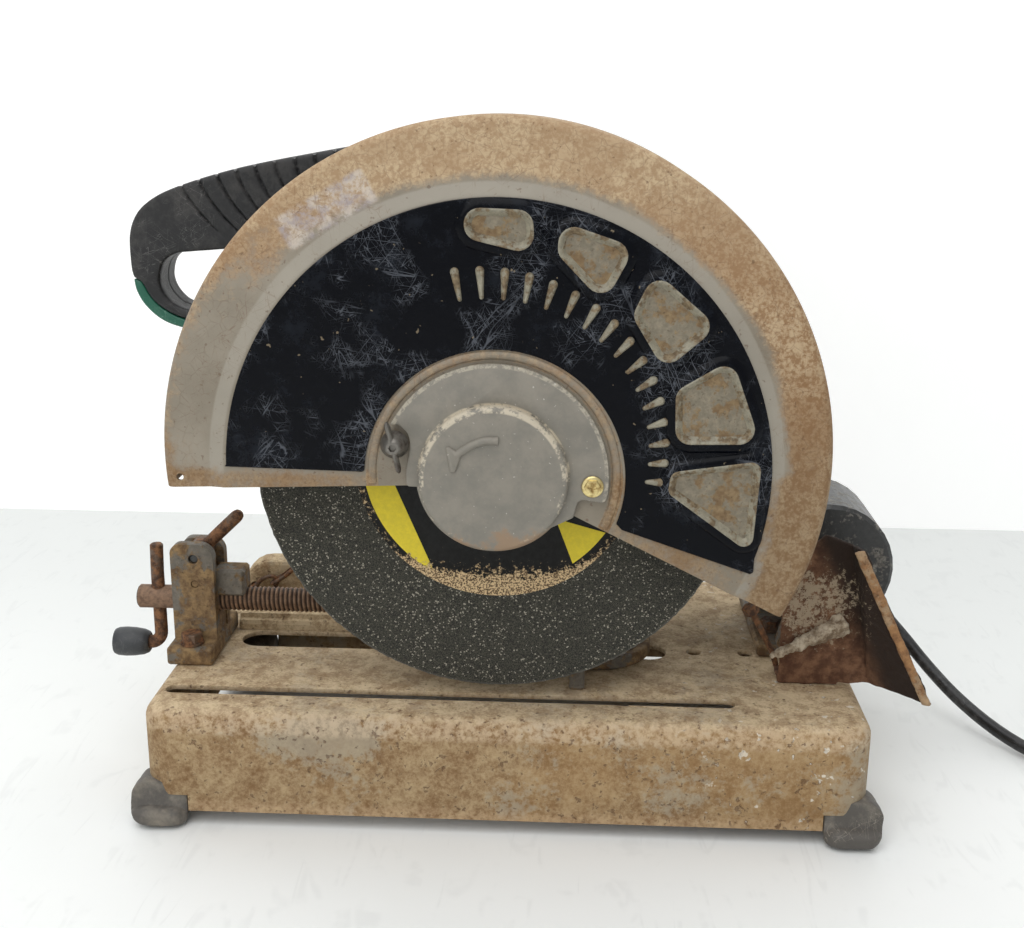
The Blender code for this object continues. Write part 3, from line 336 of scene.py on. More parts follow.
def piece(name, obj, finish, body, *nodes, slot=None, bevel=0.0, steps=2, smooth=35):
    """Moves a loose shape into the model's frame and makes it a finished piece that rides on a body."""
    obj.data.transform(Matrix.Translation(SHIFT))
    obj.name = obj.data.name = name
    obj.data.materials.clear()
    obj.data.materials.append(MATERIALS[finish])
    if bevel:
        edge = obj.modifiers.new("edges", "BEVEL")
        edge.width = bevel
        edge.segments = steps
        edge.limit_method = "ANGLE"
        edge.angle_limit = math.radians(40)
        applied(obj)
    obj.data.shade_smooth()
    obj.data.set_sharp_from_angle(angle=math.radians(smooth))
    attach(obj, body)
    if nodes:
        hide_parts(*nodes)
    slot = slot or FINISH_SLOT[finish]


# ---- Material helpers
def rgb(red, green, blue):
    """Linear colour from values of 0 to 255."""
    return tuple((c / 255) ** 2.2 for c in (red, green, blue))


def shade(colour, factor, lift=0.0):
    """A linear colour made darker or lighter."""
    return tuple(min(1.0, c * factor + lift) for c in colour)


class Finish:
    """A material under construction: every method adds nodes and returns an output."""

    def __init__(self, name):
        self.material = bpy.data.materials.new(name)
        self.material.use_nodes = True
        self.tree = self.material.node_tree
        self.shader = self.tree.nodes["Principled BSDF"]
        self.place = self.add("ShaderNodeTexCoord").outputs["Object"]

    def add(self, kind, inputs=None, **settings):
        node = self.tree.nodes.new(kind)
        for key, value in settings.items():
            setattr(node, key, value)
        for key, value in (inputs or {}).items():
            self.feed(node.inputs[key], value)
        return node

    def feed(self, socket, value):
        if isinstance(value, bpy.types.NodeSocket):
            self.tree.links.new(value, socket)
        elif socket.type == "RGBA":
            socket.default_value = (*value, 1.0)
        else:
            socket.default_value = value

    def seen_from(self, origin, scale=(1.0, 1.0, 1.0), turn=(0.0, 0.0, 0.0)):
        """Coordinates measured from a point of the machine frame."""
        centre = self.add("ShaderNodeMapping", {"Vector": self.place, "Location": -(SHIFT + Vector(origin))})
        return self.add("ShaderNodeMapping", {"Vector": centre.outputs[0], "Scale": scale,
                                              "Rotation": turn}).outputs[0]

    def noise(self, scale, detail=4.0, rough=0.6, place=None, warp=0.0):
        inputs = {"Vector": place or self.place, "Scale": scale, "Detail": detail, "Roughness": rough,
                  "Distortion": warp}
        return self.add("ShaderNodeTexNoise", inputs).outputs["Fac"]

    def cell_edges(self, scale):
        """Distance from the walls between random cells."""
        return self.add("ShaderNodeTexVoronoi", {"Vector": self.place, "Scale": scale},
                        feature="DISTANCE_TO_EDGE").outputs["Distance"]

    def cell_tone(self, scale):
        """One random grey for each cell."""
        node = self.add("ShaderNodeTexVoronoi", {"Vector": self.place, "Scale": scale})
        return self.add("ShaderNodeSeparateColor", {"Color": node.outputs["Color"]}).outputs["Red"]

    def level(self, value, low, high, start=0.0, stop=1.0):
        inputs = {"Value": value, "From Min": low, "From Max": high, "To Min": start, "To Max": stop}
        return self.add("ShaderNodeMapRange", inputs, interpolation_type="SMOOTHSTEP").outputs["Result"]

    def maths(self, operation, first, second=0.0):
        return self.add("ShaderNodeMath", {0: first, 1: second}, operation=operation).outputs[0]

    def both(self, first, second):
        return self.maths("MULTIPLY", first, second)

    def either(self, first, second):
        return self.maths("MAXIMUM", first, second)

    def plus(self, first, second):
        return self.maths("ADD", first, second)

    def mix(self, factor, first, second):
        return self.add("ShaderNodeMix", {0: factor, 6: first, 7: second}, data_type="RGBA").outputs[2]

    def coat(self, colour, mask, strength, tone):
        """Lays a tone over a colour where a mask allows it."""
        return self.mix(self.both(mask, strength), colour, tone)

    def axes(self, origin=(0, 0, 0), turn=0.0):
        """x, y and z measured from a point of the machine frame, turned about Y."""
        place = self.seen_from(origin, turn=(0.0, turn, 0.0))
        return self.add("ShaderNodeSeparateXYZ", {"Vector": place}).outputs

    def radius(self, centre=(0.0, 0.0)):
        """Distance from an axis along Y through a point (x, z) of the machine frame."""
        place = self.seen_from((centre[0], 0.0, centre[1]), scale=(1.0, 0.0, 1.0))
        return self.add("ShaderNodeVectorMath", {0: place}, operation="LENGTH").outputs["Value"]

    def band(self, value, low, high, edge):
        """1 between two values, falling to 0 over `edge` outside them."""
        return self.both(self.level(value, low - edge, low), self.level(value, high, high + edge, 1.0, 0.0))

    def scratches(self, scale, amount=0.06, turn=0.6):
        """Thin long marks that run in three directions."""
        marks = None
        for k in range(3):
            place = self.seen_from((0, 0, 0), turn=(0.0, turn + 1.05 * k, 0.0))
            drawn_out = self.add("ShaderNodeMapping", {"Vector": place, "Scale": (1.0, 1.0, 9.0)}).outputs[0]
            waves = self.noise(scale, 2.0, 0.5, drawn_out, 0.3)
            line = self.band(waves, 0.5 - amount * 0.02, 0.5 + amount * 0.02, amount * 0.1)
            marks = line if marks is None else self.either(marks, line)
        gaps = self.level(self.noise(30.0, 3.0, 0.6), 0.48, 0.62)
        return self.both(marks, gaps)

    def done(self, colour, roughness, metallic=0.0, height=None, depth=0.0005, shine=0.5):
        self.feed(self.shader.inputs["Base Color"], colour)
        self.feed(self.shader.inputs["Roughness"], roughness)
        self.feed(self.shader.inputs["Metallic"], metallic)
        self.feed(self.shader.inputs["Specular IOR Level"], shine)
        if height is not None:
            bump = self.add("ShaderNodeBump", {"Height": height, "Distance": depth})
            self.tree.links.new(bump.outputs[0], self.shader.inputs["Normal"])
        return self.material


def weathered(name, paint, rust, dark, amount, patch, pits, grain=260.0, metallic=0.0, smooth=0.5,
              rough=0.85):
    """Paint or bare metal with rust: `amount` is the share of the surface that has rusted."""
    f = Finish(name)
    broad, fine = f.noise(patch, 5.0, 0.62), f.noise(grain, 4.0, 0.7)
    shape = f.plus(f.both(broad, 0.72), f.both(fine, 0.28))
    edge = 0.5 - (amount - 0.5) * 0.34
    mask = f.level(shape, edge - 0.035, edge + 0.035)
    tone = f.noise(patch * 3.1, 5.0, 0.7)
    rusty = f.mix(f.level(tone, 0.36, 0.66), rgb(*dark), rgb(*rust))
    clean = f.mix(f.level(fine, 0.3, 0.75), shade(rgb(*paint), 0.72), shade(rgb(*paint), 1.16))
    pit = f.level(f.noise(grain * 1.7, 3.0, 0.6), 0.6, 0.74)
    colour = f.coat(f.mix(mask, clean, rusty), pit, 0.55, shade(rgb(*dark), 0.35))
    height = f.plus(f.both(fine, 0.5), f.both(f.plus(mask, f.both(pit, -1.4)), 0.35))
    return f.done(colour, f.level(mask, 0.0, 1.0, smooth, rough), metallic, height, pits)


# ---- Materials
def guard_paint():
    """Grey paint that has rusted from the rim inwards, more on the right, with a worn patch of old glue; it
    also carries a painted highlight near the top, painted shade low down and a painted highlight on the
    raised ring.
    """
    f = Finish("guard_paint")
    rim, hub = f.radius(GUARD_CENTRE), f.radius()
    x, _, z = f.axes()
    broad, fine, grain = f.noise(22.0, 5.0, 0.62), f.noise(170.0, 5.0, 0.72), f.noise(520.0, 3.0, 0.7)
    lean = f.plus(f.both(x, 0.62), f.both(z, 0.78))
    share = f.both(f.level(hub, 0.156, 0.172), f.level(lean, -0.05, 0.09, 0.12, 0.95))
    share = f.plus(share, f.both(f.level(rim, GUARD_RADIUS - 0.012, GUARD_RADIUS - 0.001), 0.35))
    low_edge = f.both(f.level(z, 0.006, -0.004), f.level(hub, 0.06, 0.075))
    hub_ring = f.both(f.band(hub, 0.0655, 0.0715, 0.001), 0.45)
    share = f.plus(f.plus(share, f.both(low_edge, 0.55)), hub_ring)
    share = f.plus(share, f.plus(f.both(f.plus(broad, -0.5), 0.9), f.both(f.plus(fine, -0.5), 1.1)))
    rusty = f.level(share, 0.22, 0.8)
    tone = f.plus(f.both(fine, 0.55), f.both(grain, 0.45))
    rust = f.mix(f.level(tone, 0.42, 0.58), rgb(142, 110, 78), rgb(182, 158, 126))
    rust = f.mix(f.level(broad, 0.42, 0.66, 0.0, 0.5), rust, rgb(132, 96, 62))
    # Painted highlight: the rust is made lighter towards the top of the guard, standing for sheen from above.
    rust = f.mix(f.level(z, 0.08, 0.17, 0.0, 0.25), rust, rgb(206, 184, 150))
    # Painted shade: the rust is made darker towards the bottom of the guard.
    rust = f.mix(f.level(z, 0.1, -0.05, 0.0, 0.5), rust, rgb(100, 80, 54))
    paint = f.mix(f.level(broad, 0.3, 0.7), rgb(126, 117, 102), rgb(144, 135, 120))
    # Painted highlight: a paler band of paint over the raised ring round the guard's face.
    paint = f.coat(paint, f.band(hub, 0.1535, 0.1605, 0.0015), 0.55, rgb(158, 152, 140))
    colour = f.mix(rusty, paint, rust)
    wrinkle = f.level(f.cell_edges(170.0), 0.0, 0.04, 1.0, 0.0)
    wrinkle = f.both(wrinkle, f.both(f.level(hub, 0.157, 0.166), f.level(fine, 0.42, 0.56)))
    colour = f.coat(colour, wrinkle, 0.3, rgb(112, 84, 60))
    glue_x, _, glue_z = f.axes((-0.091, 0.0, 0.1455), math.radians(30))
    glue = f.both(f.band(glue_x, -0.026, 0.026, 0.003), f.band(glue_z, -0.0085, 0.0075, 0.003))
    glue = f.both(glue, f.level(fine, 0.36, 0.6))
    stain = f.mix(f.level(f.noise(75.0, 4.0, 0.6), 0.42, 0.6), rgb(196, 187, 178), rgb(150, 145, 154))
    colour = f.coat(colour, glue, 0.7, stain)
    colour = f.coat(colour, f.level(f.noise(330.0, 2.0, 0.5), 0.66, 0.74), 0.55, rgb(96, 70, 50))
    colour = f.coat(colour, f.scratches(20.0), 0.4, rgb(110, 82, 60))
    height = f.plus(f.both(tone, 0.5), f.plus(f.both(rusty, 0.4), f.both(wrinkle, -0.3)))
    return f.done(colour, f.level(rusty, 0, 1, 0.52, 0.82), 0.0, height, 0.0004)


def panel_black():
    """Satin black paint with hairline scratches, dust and a few chips."""
    f = Finish("panel_black")
    dust = f.plus(f.noise(40.0, 6.0, 0.72), f.both(f.level(f.radius(), 0.075, 0.15), 0.06))
    dust = f.level(dust, 0.52, 0.86)
    colour = f.coat(rgb(10, 12, 18), dust, 0.3, rgb(56, 62, 72))
    marks = f.either(f.scratches(14.0, 0.07, 0.9), f.scratches(30.0, 0.06, 0.2))
    colour = f.coat(colour, marks, 0.4, rgb(120, 124, 132))
    colour = f.coat(colour, f.level(f.noise(260.0, 2.0, 0.5), 0.73, 0.76), 0.6, rgb(140, 126, 104))
    return f.done(colour, f.level(dust, 0, 1, 0.25, 0.5), 0.0, f.noise(300.0, 3.0), 0.00012, shine=0.12)


def cover_paint():
    """Grey paint, rubbed to pale metal round the drum's rim and rusty near the lower edge."""
    f = Finish("cover_paint")
    hub, z = f.radius(), f.axes()[2]
    broad, fine = f.noise(60.0, 5.0, 0.7), f.noise(420.0, 3.0, 0.65)
    colour = f.mix(f.level(broad, 0.3, 0.72), rgb(120, 116, 107), rgb(137, 131, 120))
    worn = f.band(hub, DRUM_RADIUS - 0.0028, DRUM_RADIUS + 0.0004, 0.001)
    patches = f.plus(f.noise(110.0, 4.0, 0.7), f.plus(f.both(z, 4.0), f.both(f.plus(fine, -0.5), 0.8)))
    colour = f.coat(colour, f.both(worn, f.level(patches, 0.46, 0.66)), 0.85, rgb(200, 188, 166))
    stain = f.level(f.plus(broad, f.both(f.level(z, -0.018, -0.04), 0.28)), 0.66, 0.82)
    colour = f.coat(colour, stain, 0.6, rgb(150, 116, 82))
    lip = f.both(f.band(hub, 0.0622, 0.0648, 0.0006), f.level(fine, 0.4, 0.6))
    colour = f.coat(colour, lip, 0.6, rgb(190, 180, 160))
    colour = f.coat(colour, f.level(f.noise(500.0, 2.0, 0.5), 0.7, 0.76), 0.6, rgb(196, 192, 182))
    height = f.plus(f.both(fine, 0.6), broad)
    return f.done(colour, f.level(broad, 0.3, 0.7, 0.42, 0.6), 0.0, height, 0.00018)


def abrasive():
    """Pressed grit: dark binder with dense pale grains and a rough face."""
    f = Finish("abrasive")
    grain, small, broad = f.cell_tone(1350.0), f.cell_tone(2600.0), f.noise(38.0, 4.0, 0.6)
    colour = f.mix(f.level(small, 0.2, 0.9), rgb(40, 40, 37), rgb(82, 80, 70))
    share = f.plus(grain, f.both(f.plus(broad, -0.5), 0.22))
    colour = f.mix(f.level(share, 0.93, 0.97), colour, rgb(166, 160, 144))
    rim = f.level(f.radius(), WHEEL_RADIUS - 0.0022, WHEEL_RADIUS - 0.0004)
    colour = f.coat(colour, rim, 0.45, rgb(120, 116, 108))
    return f.done(colour, 0.92, 0.0, f.plus(f.both(grain, 0.6), f.both(small, 0.4)), 0.0006)


def printed_paper(name, ink, bare):
    """Paper disc glued to the wheel: ink that has been scoured to bare grit along its lower rim."""
    f = Finish(name)
    fine, tiny = f.noise(330.0, 4.0, 0.75), f.noise(900.0, 2.0, 0.6)
    lower = f.level(f.axes()[2], -0.052, -0.078)
    rim = f.level(f.radius(), 0.0745, 0.0825)
    share = f.plus(f.plus(f.both(lower, 0.55), f.both(rim, 0.34)), f.both(f.plus(fine, -0.5), 1.5))
    worn = f.level(share, 0.34, 0.46)
    ground = f.mix(f.level(tiny, 0.42, 0.56), rgb(*bare), rgb(206, 180, 140))
    colour = f.mix(f.level(fine, 0.3, 0.66, 0.0, 0.35), rgb(*ink), shade(rgb(*ink), 0.6, 0.02))
    colour = f.mix(worn, colour, ground)
    return f.done(colour, f.level(worn, 0, 1, 0.45, 0.9), 0.0, f.plus(fine, worn), 0.00015, shine=0.2)


def base_rust():
    """Pressed sheet: fine tan and brown rust over the last grey paint, greyer and wrinkled on top, with a
    painted highlight along the rounded top edge.
    """
    f = Finish("base_rust")
    x, _, z = f.axes()
    broad, middle = f.noise(8.0, 5.0, 0.6), f.noise(60.0, 6.0, 0.72)
    fine, grain = f.noise(220.0, 5.0, 0.72), f.noise(620.0, 3.0, 0.7)
    top = f.level(z, -0.156, -0.152)
    tone = f.plus(f.plus(f.both(middle, 0.45), f.both(fine, 0.35)), f.both(grain, 0.2))
    front = f.mix(f.level(tone, 0.38, 0.62), rgb(124, 94, 62), rgb(176, 152, 116))
    front = f.mix(f.level(broad, 0.46, 0.62, 0.0, 0.3), front, rgb(160, 124, 78))
    wrinkles = f.plus(f.both(f.noise(85.0, 6.0, 0.74), 0.7), f.both(grain, 0.3))
    upper = f.mix(f.level(wrinkles, 0.4, 0.6), rgb(150, 124, 92), rgb(206, 184, 148))
    colour = f.mix(top, front, upper)
    paint = f.level(f.plus(f.both(f.noise(13.0, 5.0, 0.62), 0.72), f.both(fine, 0.28)), 0.52, 0.6)
    colour = f.coat(colour, paint, f.level(top, 0, 1, 0.62, 0.3), rgb(158, 149, 130))
    # Painted highlight: a pale band, broken up by noise, along the pan's rounded top edge.
    edge = f.both(f.band(z, -0.162, -0.154, 0.005), f.level(fine, 0.36, 0.58))
    colour = f.coat(colour, edge, 0.42, rgb(214, 190, 160))
    foot = f.both(f.level(z, -0.206, -0.2166), f.level(fine, 0.3, 0.6))
    colour = f.coat(colour, foot, 0.45, rgb(204, 172, 136))
    pit = f.level(f.noise(240.0, 3.0, 0.62), 0.61, 0.7)
    colour = f.coat(colour, pit, 0.6, rgb(88, 58, 38))
    chalk = f.both(f.level(f.noise(120.0, 3.0, 0.6), 0.64, 0.68), f.level(x, 0.08, 0.17))
    colour = f.coat(colour, chalk, 0.8, rgb(224, 216, 200))
    height = f.plus(f.plus(f.both(tone, 0.6), f.both(wrinkles, f.both(top, 0.8))), f.both(pit, -0.6))
    return f.done(colour, f.level(paint, 0, 1, 0.88, 0.7), 0.0, height, 0.0009)


def threaded_steel():
    """Screw steel: worn brown crests over dark roots, warmer toward the hand crank."""
    f = Finish("threaded_steel")
    x, y, z = f.axes((0, SCREW_Y, SCREW_Z))
    fine = f.noise(300.0, 4.0, 0.7)
    away = f.maths("SQRT", f.plus(f.both(y, y), f.both(z, z)))
    crest = f.level(away, SCREW_RADIUS - 0.0013, SCREW_RADIUS - 0.0002)
    worn = f.mix(f.level(fine, 0.3, 0.7), rgb(112, 86, 68), rgb(146, 120, 98))
    warm = f.both(f.level(x, -0.1, -0.19), f.level(fine, 0.4, 0.64, 0.0, 0.5))
    colour = f.mix(crest, rgb(44, 31, 22), f.mix(warm, worn, rgb(160, 122, 92)))
    return f.done(colour, 0.6, 0.2, fine, 0.00015)


def chute_crust():
    """Dark sheet covered in baked grinding dust: pale where sparks strike, with painted shade darkening its
    folded side.
    """
    f = Finish("chute_crust")
    x, _, z = f.axes()
    broad, middle, fine = f.noise(30.0, 6.0, 0.7), f.noise(120.0, 5.0, 0.7), f.noise(460.0, 5.0, 0.75)
    colour = f.mix(f.level(middle, 0.35, 0.7), rgb(84, 56, 40), rgb(128, 94, 70))
    # Painted shade: the folded end plate's inner face is made dark, as if in shadow.
    colour = f.mix(f.level(f.plus(x, f.both(z, 0.48)), 0.158, 0.176), colour, rgb(46, 34, 26))
    grain = f.plus(f.both(broad, 0.3), f.both(f.noise(260.0, 5.0, 0.8), 0.7))
    share = f.plus(f.level(f.radius((0.195, -0.096)), 0.012, 0.046, 0.07, -0.1), grain)
    colour = f.mix(f.level(share, 0.53, 0.6, 0.0, 0.85), colour, rgb(166, 150, 126))
    return f.done(colour, 0.93, 0.0, f.plus(f.plus(broad, middle), f.both(fine, 0.6)), 0.0014)


def slag():
    f = Finish("slag")
    fine, tiny = f.noise(160.0, 6.0, 0.72), f.noise(700.0, 3.0, 0.7)
    colour = f.mix(f.level(fine, 0.36, 0.64), rgb(112, 94, 74), rgb(186, 172, 150))
    return f.done(colour, 0.95, 0.0, f.plus(fine, f.both(tiny, 0.5)), 0.0012)


def rubber(name, colour, dust, roughness, grain=380.0, depth=0.00025):
    """Moulded rubber or plastic with handling dust in its grain."""
    f = Finish(name)
    fine, broad = f.noise(grain, 4.0, 0.6), f.noise(42.0, 5.0, 0.68)
    film = f.level(f.plus(f.both(broad, 0.7), f.both(fine, 0.3)), 0.44, 0.7)
    tone = f.coat(rgb(*colour), film, 0.5, rgb(*dust))
    tone = f.coat(tone, f.scratches(26.0, 0.05, 0.4), 0.35, shade(rgb(*dust), 1.8, 0.02))
    return f.done(tone, f.level(film, 0, 1, roughness - 0.12, roughness + 0.2), 0.0, fine, depth)


def plain_metal(name, light, dark, roughness=0.35, metallic=1.0):
    """Machined or plated metal with tarnish."""
    f = Finish(name)
    fine, broad = f.noise(300.0, 4.0, 0.65), f.noise(70.0, 4.0, 0.6)
    stain = f.level(f.plus(f.both(broad, 0.7), f.both(fine, 0.3)), 0.46, 0.64)
    colour = f.mix(stain, rgb(*light), rgb(*dark))
    return f.done(colour, f.level(stain, 0, 1, roughness, roughness + 0.3), metallic, fine, 0.00015)


MATERIALS = {
    "guard": guard_paint(), "panel": panel_black(), "cover": cover_paint(), "grit": abrasive(),
    "base": base_rust(), "thread": threaded_steel(), "crust": chute_crust(), "slag": slag(),
    "lip": weathered("worn_metal", (146, 140, 122), (134, 118, 92), (92, 76, 56), amount=0.46, patch=110.0,
                     grain=420.0, pits=0.0003, smooth=0.42, rough=0.7),
    "pocket": weathered("pocket_grey", (130, 121, 103), (138, 118, 88), (112, 90, 64), amount=0.46,
                        patch=70.0, grain=320.0, pits=0.0004, smooth=0.55, rough=0.8),
    "chute_lip": weathered("chute_lip", (166, 138, 106), (160, 120, 80), (118, 84, 56), amount=0.6,
                           patch=40.0, pits=0.0008, smooth=0.75),
    "iron": weathered("vise_iron", (110, 103, 92), (144, 118, 82), (94, 72, 50), amount=0.54, patch=40.0,
                      pits=0.0008, smooth=0.6),
    "brown": weathered("brown_steel", (104, 84, 68), (142, 100, 68), (70, 50, 38), amount=0.6, patch=80.0,
                       pits=0.0004, metallic=0.2, rough=0.75),
    "casting": weathered("head_casting", (56, 56, 55), (132, 128, 120), (84, 80, 74), amount=0.34,
                         patch=110.0, pits=0.0003, smooth=0.34, rough=0.6),
    "label": printed_paper("label_black", (15, 15, 13), (96, 78, 60)),
    "yellow": printed_paper("label_yellow", (226, 204, 60), (120, 100, 60)),
    "motor": rubber("motor_plastic", (36, 44, 43), (150, 148, 142), 0.5, grain=520.0),
    "rubber": rubber("handle_rubber", (25, 25, 26), (92, 90, 88), 0.6, grain=240.0, depth=0.0004),
    "green": rubber("green_plastic", (26, 92, 72), (96, 130, 114), 0.45),
    "foot": rubber("foot_rubber", (84, 80, 75), (164, 155, 140), 0.7, grain=200.0, depth=0.0005),
    "knob": rubber("knob_rubber", (58, 60, 62), (108, 108, 106), 0.6, grain=200.0),
    "cord": rubber("cord_rubber", (26, 26, 27), (96, 95, 94), 0.5),
    "steel": plain_metal("bright_steel", (186, 184, 178), (128, 112, 92)),
    "zinc": plain_metal("yellow_zinc", (226, 208, 150), (160, 132, 84), 0.32),
    "copper": plain_metal("copper_wire", (200, 128, 84), (120, 74, 48)),
    "wing": plain_metal("wing_steel", (120, 116, 110), (70, 60, 54), 0.4, metallic=0.7),
}


def spread(table):
    """{value: "names"} turned round to one entry for each name."""
    return {name: value for value, names in table.items() for name in names.split()}


FINISH_SLOT = spread({
    "guard_paint": "guard lip pocket", "black_panel": "panel", "cover_paint": "cover", "zinc": "zinc",
    "bright_steel": "wing steel", "abrasive": "grit label yellow", "rusty_steel": "base",
    "foot_rubber": "foot knob", "brown_steel": "thread brown", "cast_iron": "iron",
    "head_casting": "casting", "chute_steel": "crust chute_lip slag", "handle_rubber": "rubber",
    "green_plastic": "green", "motor_plastic": "motor"})
NODE_FINISH = spread({
    "base": "guide_rail chain_bracket base_pan", "guard": "wheel_guard", "panel": "guard_panel",
    "iron": "hinge_bracket fence vise_jaw jaw_yoke vise_holder clutch_nut", "cover": "sub_cover",
    "steel": "hinge_shaft torsion_spring spindle spindle_bearing inner_flange outer_flange wheel_bolt"
             " drive_gear",
    "casting": "gear_case bearing_plate guard_back stator", "copper": "armature", "grit": "abrasive_wheel",
    "motor": "motor_housing motor_tail_cover", "zinc": "cover_screw", "wing": "wing_bolt",
    "rubber": "brush_cap_top brush_cap_bottom trigger lock_button handle_front_shell handle_rear_shell",
    "green": "handle_lower_cover", "crust": "spark_chute", "cord": "plug cord_sleeve",
    "foot": "crank_knob foot_front_left foot_front_right foot_rear_left foot_rear_right"})


def repaint_nodes():
    """Better finishes for the CAD nodes that stay in view."""
    for name, node in frame["nodes"].items():
        for slot in node.material_slots:
            slot.material = MATERIALS[NODE_FINISH.get(name, "brown")]


# ---- Camera and cord
def make_camera():
    """Looks slightly down at the guard's face from in front of the wheel."""
    yaw, pitch, roll = -0.048, 0.273, 0.007
    position = Vector((0.04357, -0.69625, 0.2022))
    data = bpy.data.cameras.new("camera")
    data.sensor_width = 36.0
    data.lens = 45.7
    camera = placed("camera", data)
    forward = Vector((math.sin(yaw) * math.cos(pitch), math.cos(yaw) * math.cos(pitch), -math.sin(pitch)))
    level_right = Vector((math.cos(yaw), -math.sin(yaw), 0.0))
    level_up = level_right.cross(forward)
    right = level_right * math.cos(roll) + level_up * math.sin(roll)
    up = level_up * math.cos(roll) - level_right * math.sin(roll)
    turn = Matrix((right, up, -forward)).transposed().to_4x4()
    camera.matrix_world = Matrix.Translation(SHIFT + position) @ turn
    bpy.context.scene.camera = camera


def coil_points():
    """Three turns inwards on the floor, a climb at the inside, and two and a half turns back out on top.

    Every inward step is in one window of angles and every outward step in another, so neighbouring turns
    stay a cord's width apart.
    """
    outer, middle, inner = COIL_RADII
    lead, leave, last = 0.0691, 0.0694, (1815, 1880)
    steps = ((-90, -30, outer - lead), (270, 330, middle - outer), (630, 690, inner - middle),
             (1225, 1285, middle - inner), (1585, 1645, outer - middle), (*last, leave - outer))
    climbs = ((925, 985, COIL_LAYER), (*last, TAIL_ROUTE[0][2] - CORD_FLOOR - COIL_LAYER))
    points = []
    for angle in range(-90, 1875, 10):
        radius, height = (start + sum(change * ease(angle, low, high) for low, high, change in changes)
                          for start, changes in ((lead, steps), (CORD_FLOOR, climbs)))
        a, b = polar(radius, angle)
        points.append(Vector((COIL_CENTRE[0] + a, COIL_CENTRE[1] + b, height)))
    return points


def make_cord():
    """One smooth curve from the sleeve at the hinge, over the floor, round the coil and into the plug."""
    points = smooth_path(CORD_ROUTE, 3)[:-1] + coil_points() + smooth_path(TAIL_ROUTE, 3)
    curve = bpy.data.curves.new("power_cord", "CURVE")
    curve.dimensions = "3D"
    curve.bevel_depth = CORD_DIAMETER / 2
    curve.bevel_resolution = 6
    curve.use_fill_caps = True
    spline = curve.splines.new("POLY")
    spline.points.add(len(points) - 1)
    for target, point in zip(spline.points, points):
        target.co = (*(point + SHIFT), 1.0)
    spline.use_smooth = True
    cord = placed("power_cord", curve)
    curve.materials.append(MATERIALS["cord"])
    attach(cord, "base")
    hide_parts("cord_lead", "cord_coil", "cord_tail")


# ---- Stage
def stage_sheet(name, corners, material):
    mesh = bpy.data.meshes.new(name)
    mesh.from_pydata(corners, [], [tuple(range(len(corners)))])
    mesh.materials.append(material)
    sheet = placed(name, mesh)


def floor_finish():
    f = Finish("floor_finish")
    soft = f.noise(2.2, 4.0, 0.6)
    colour = f.mix(f.level(soft, 0.3, 0.7), rgb(238, 240, 238), rgb(245, 246, 244))
    depth = f.axes(-SHIFT)[1]
    # Painted shade: the floor is made darker towards the wall.
    colour = f.mix(f.level(depth, -0.25, 0.4), colour, rgb(222, 224, 222))
    colour = f.coat(colour, f.scratches(5.0, 0.2, 0.5), 0.1, rgb(176, 178, 178))
    return f.done(colour, 0.42, 0.0, soft, 0.0002)


def wall_finish():
    """White wall that lets light and sight through from behind."""
    f, white = Finish("wall_finish"), rgb(250, 250, 249)
    f.done(white, 0.9)
    f.feed(f.shader.inputs["Emission Color"], white)
    f.feed(f.shader.inputs["Emission Strength"], 0.24)
    clear = f.add("ShaderNodeBsdfTransparent")
    behind = f.add("ShaderNodeNewGeometry").outputs["Backfacing"]
    blend = f.add("ShaderNodeMixShader", {0: behind, 1: f.shader.outputs[0], 2: clear.outputs[0]})
    f.tree.links.new(blend.outputs[0], f.tree.nodes["Material Output"].inputs["Surface"])
    return f.material


def make_stage():
    wide, near, far, wall, tall = 4.0, -3.5, 3.5, 0.49, 3.0
    stage_sheet("floor", [(-wide, near, 0), (wide, near, 0), (wide, far, 0), (-wide, far, 0)], floor_finish())
    stage_sheet("wall", [(-wide, wall, 0), (wide, wall, 0), (wide, wall, tall), (-wide, wall, tall)],
                wall_finish())
    world = bpy.data.worlds.new("studio")
    bpy.context.scene.world = world
    world.use_nodes = True
    background = world.node_tree.nodes["Background"]
    background.inputs["Color"].default_value = (0.96, 0.98, 1.0, 1.0)
    background.inputs["Strength"].default_value = 0.52
    target = Vector((0, 0, 0.15))
    for name, place, size, energy in (("ceiling_light", (-0.3, -0.8, 2.2), 2.2, 27.0),
                                      ("front_light", (-0.9, -2.2, 1.3), 1.6, 12.5)):
        data = bpy.data.lights.new(name, "AREA")
        data.energy = energy
        data.size = size
        lamp = placed(name, data)
        lamp.location = place
        lamp.rotation_mode = "QUATERNION"
        lamp.rotation_quaternion = (target - Vector(place)).to_track_quat("-Z", "Y")
    bpy.context.scene.view_settings.view_transform = "Standard"


# ---- Guard and panel
def open_wedge(low, high):
    """The opening below the guard, in front of the wheel."""
    far = 0.35
    right = math.radians(333.5)
    outline = [(-far, -0.0169), (-0.0497, -0.0067), (0.0, -0.0067), (0.02, -0.01),
               (far * math.cos(right), far * math.sin(right)), (far, -far), (-far, -far)]
    return prism(outline, "Y", low, high)


def quarter(radius, face, turn):
    """Profile of a rim's outer corner: (radius, y) points from the face round to the side wall."""
    angles = [math.pi / 2 * i / 6 for i in range(7)]
    return [(radius - turn + turn * math.sin(a), face + turn - turn * math.cos(a)) for a in angles]


def bead(radius, half, height):
    """Half-round rib on the guard's face, as a closed (radius, y) profile."""
    top = [(radius + half * math.cos(t), -height * math.sin(t)) for t in (math.pi * i / 8 for i in range(9))]
    return top + [(radius - half, 0.0006), (radius + half, 0.0006)]


def through(a, b, radius, count, low=-0.02, high=0.02):
    """A tool that drills a hole along Y."""
    return prism(circle(a, b, radius, count), "Y", low, high)


def disc(radius, low, high, centre, count):
    return turned([(0, low), (radius, low), (radius, high), (0, high)], "Y", centre, count)


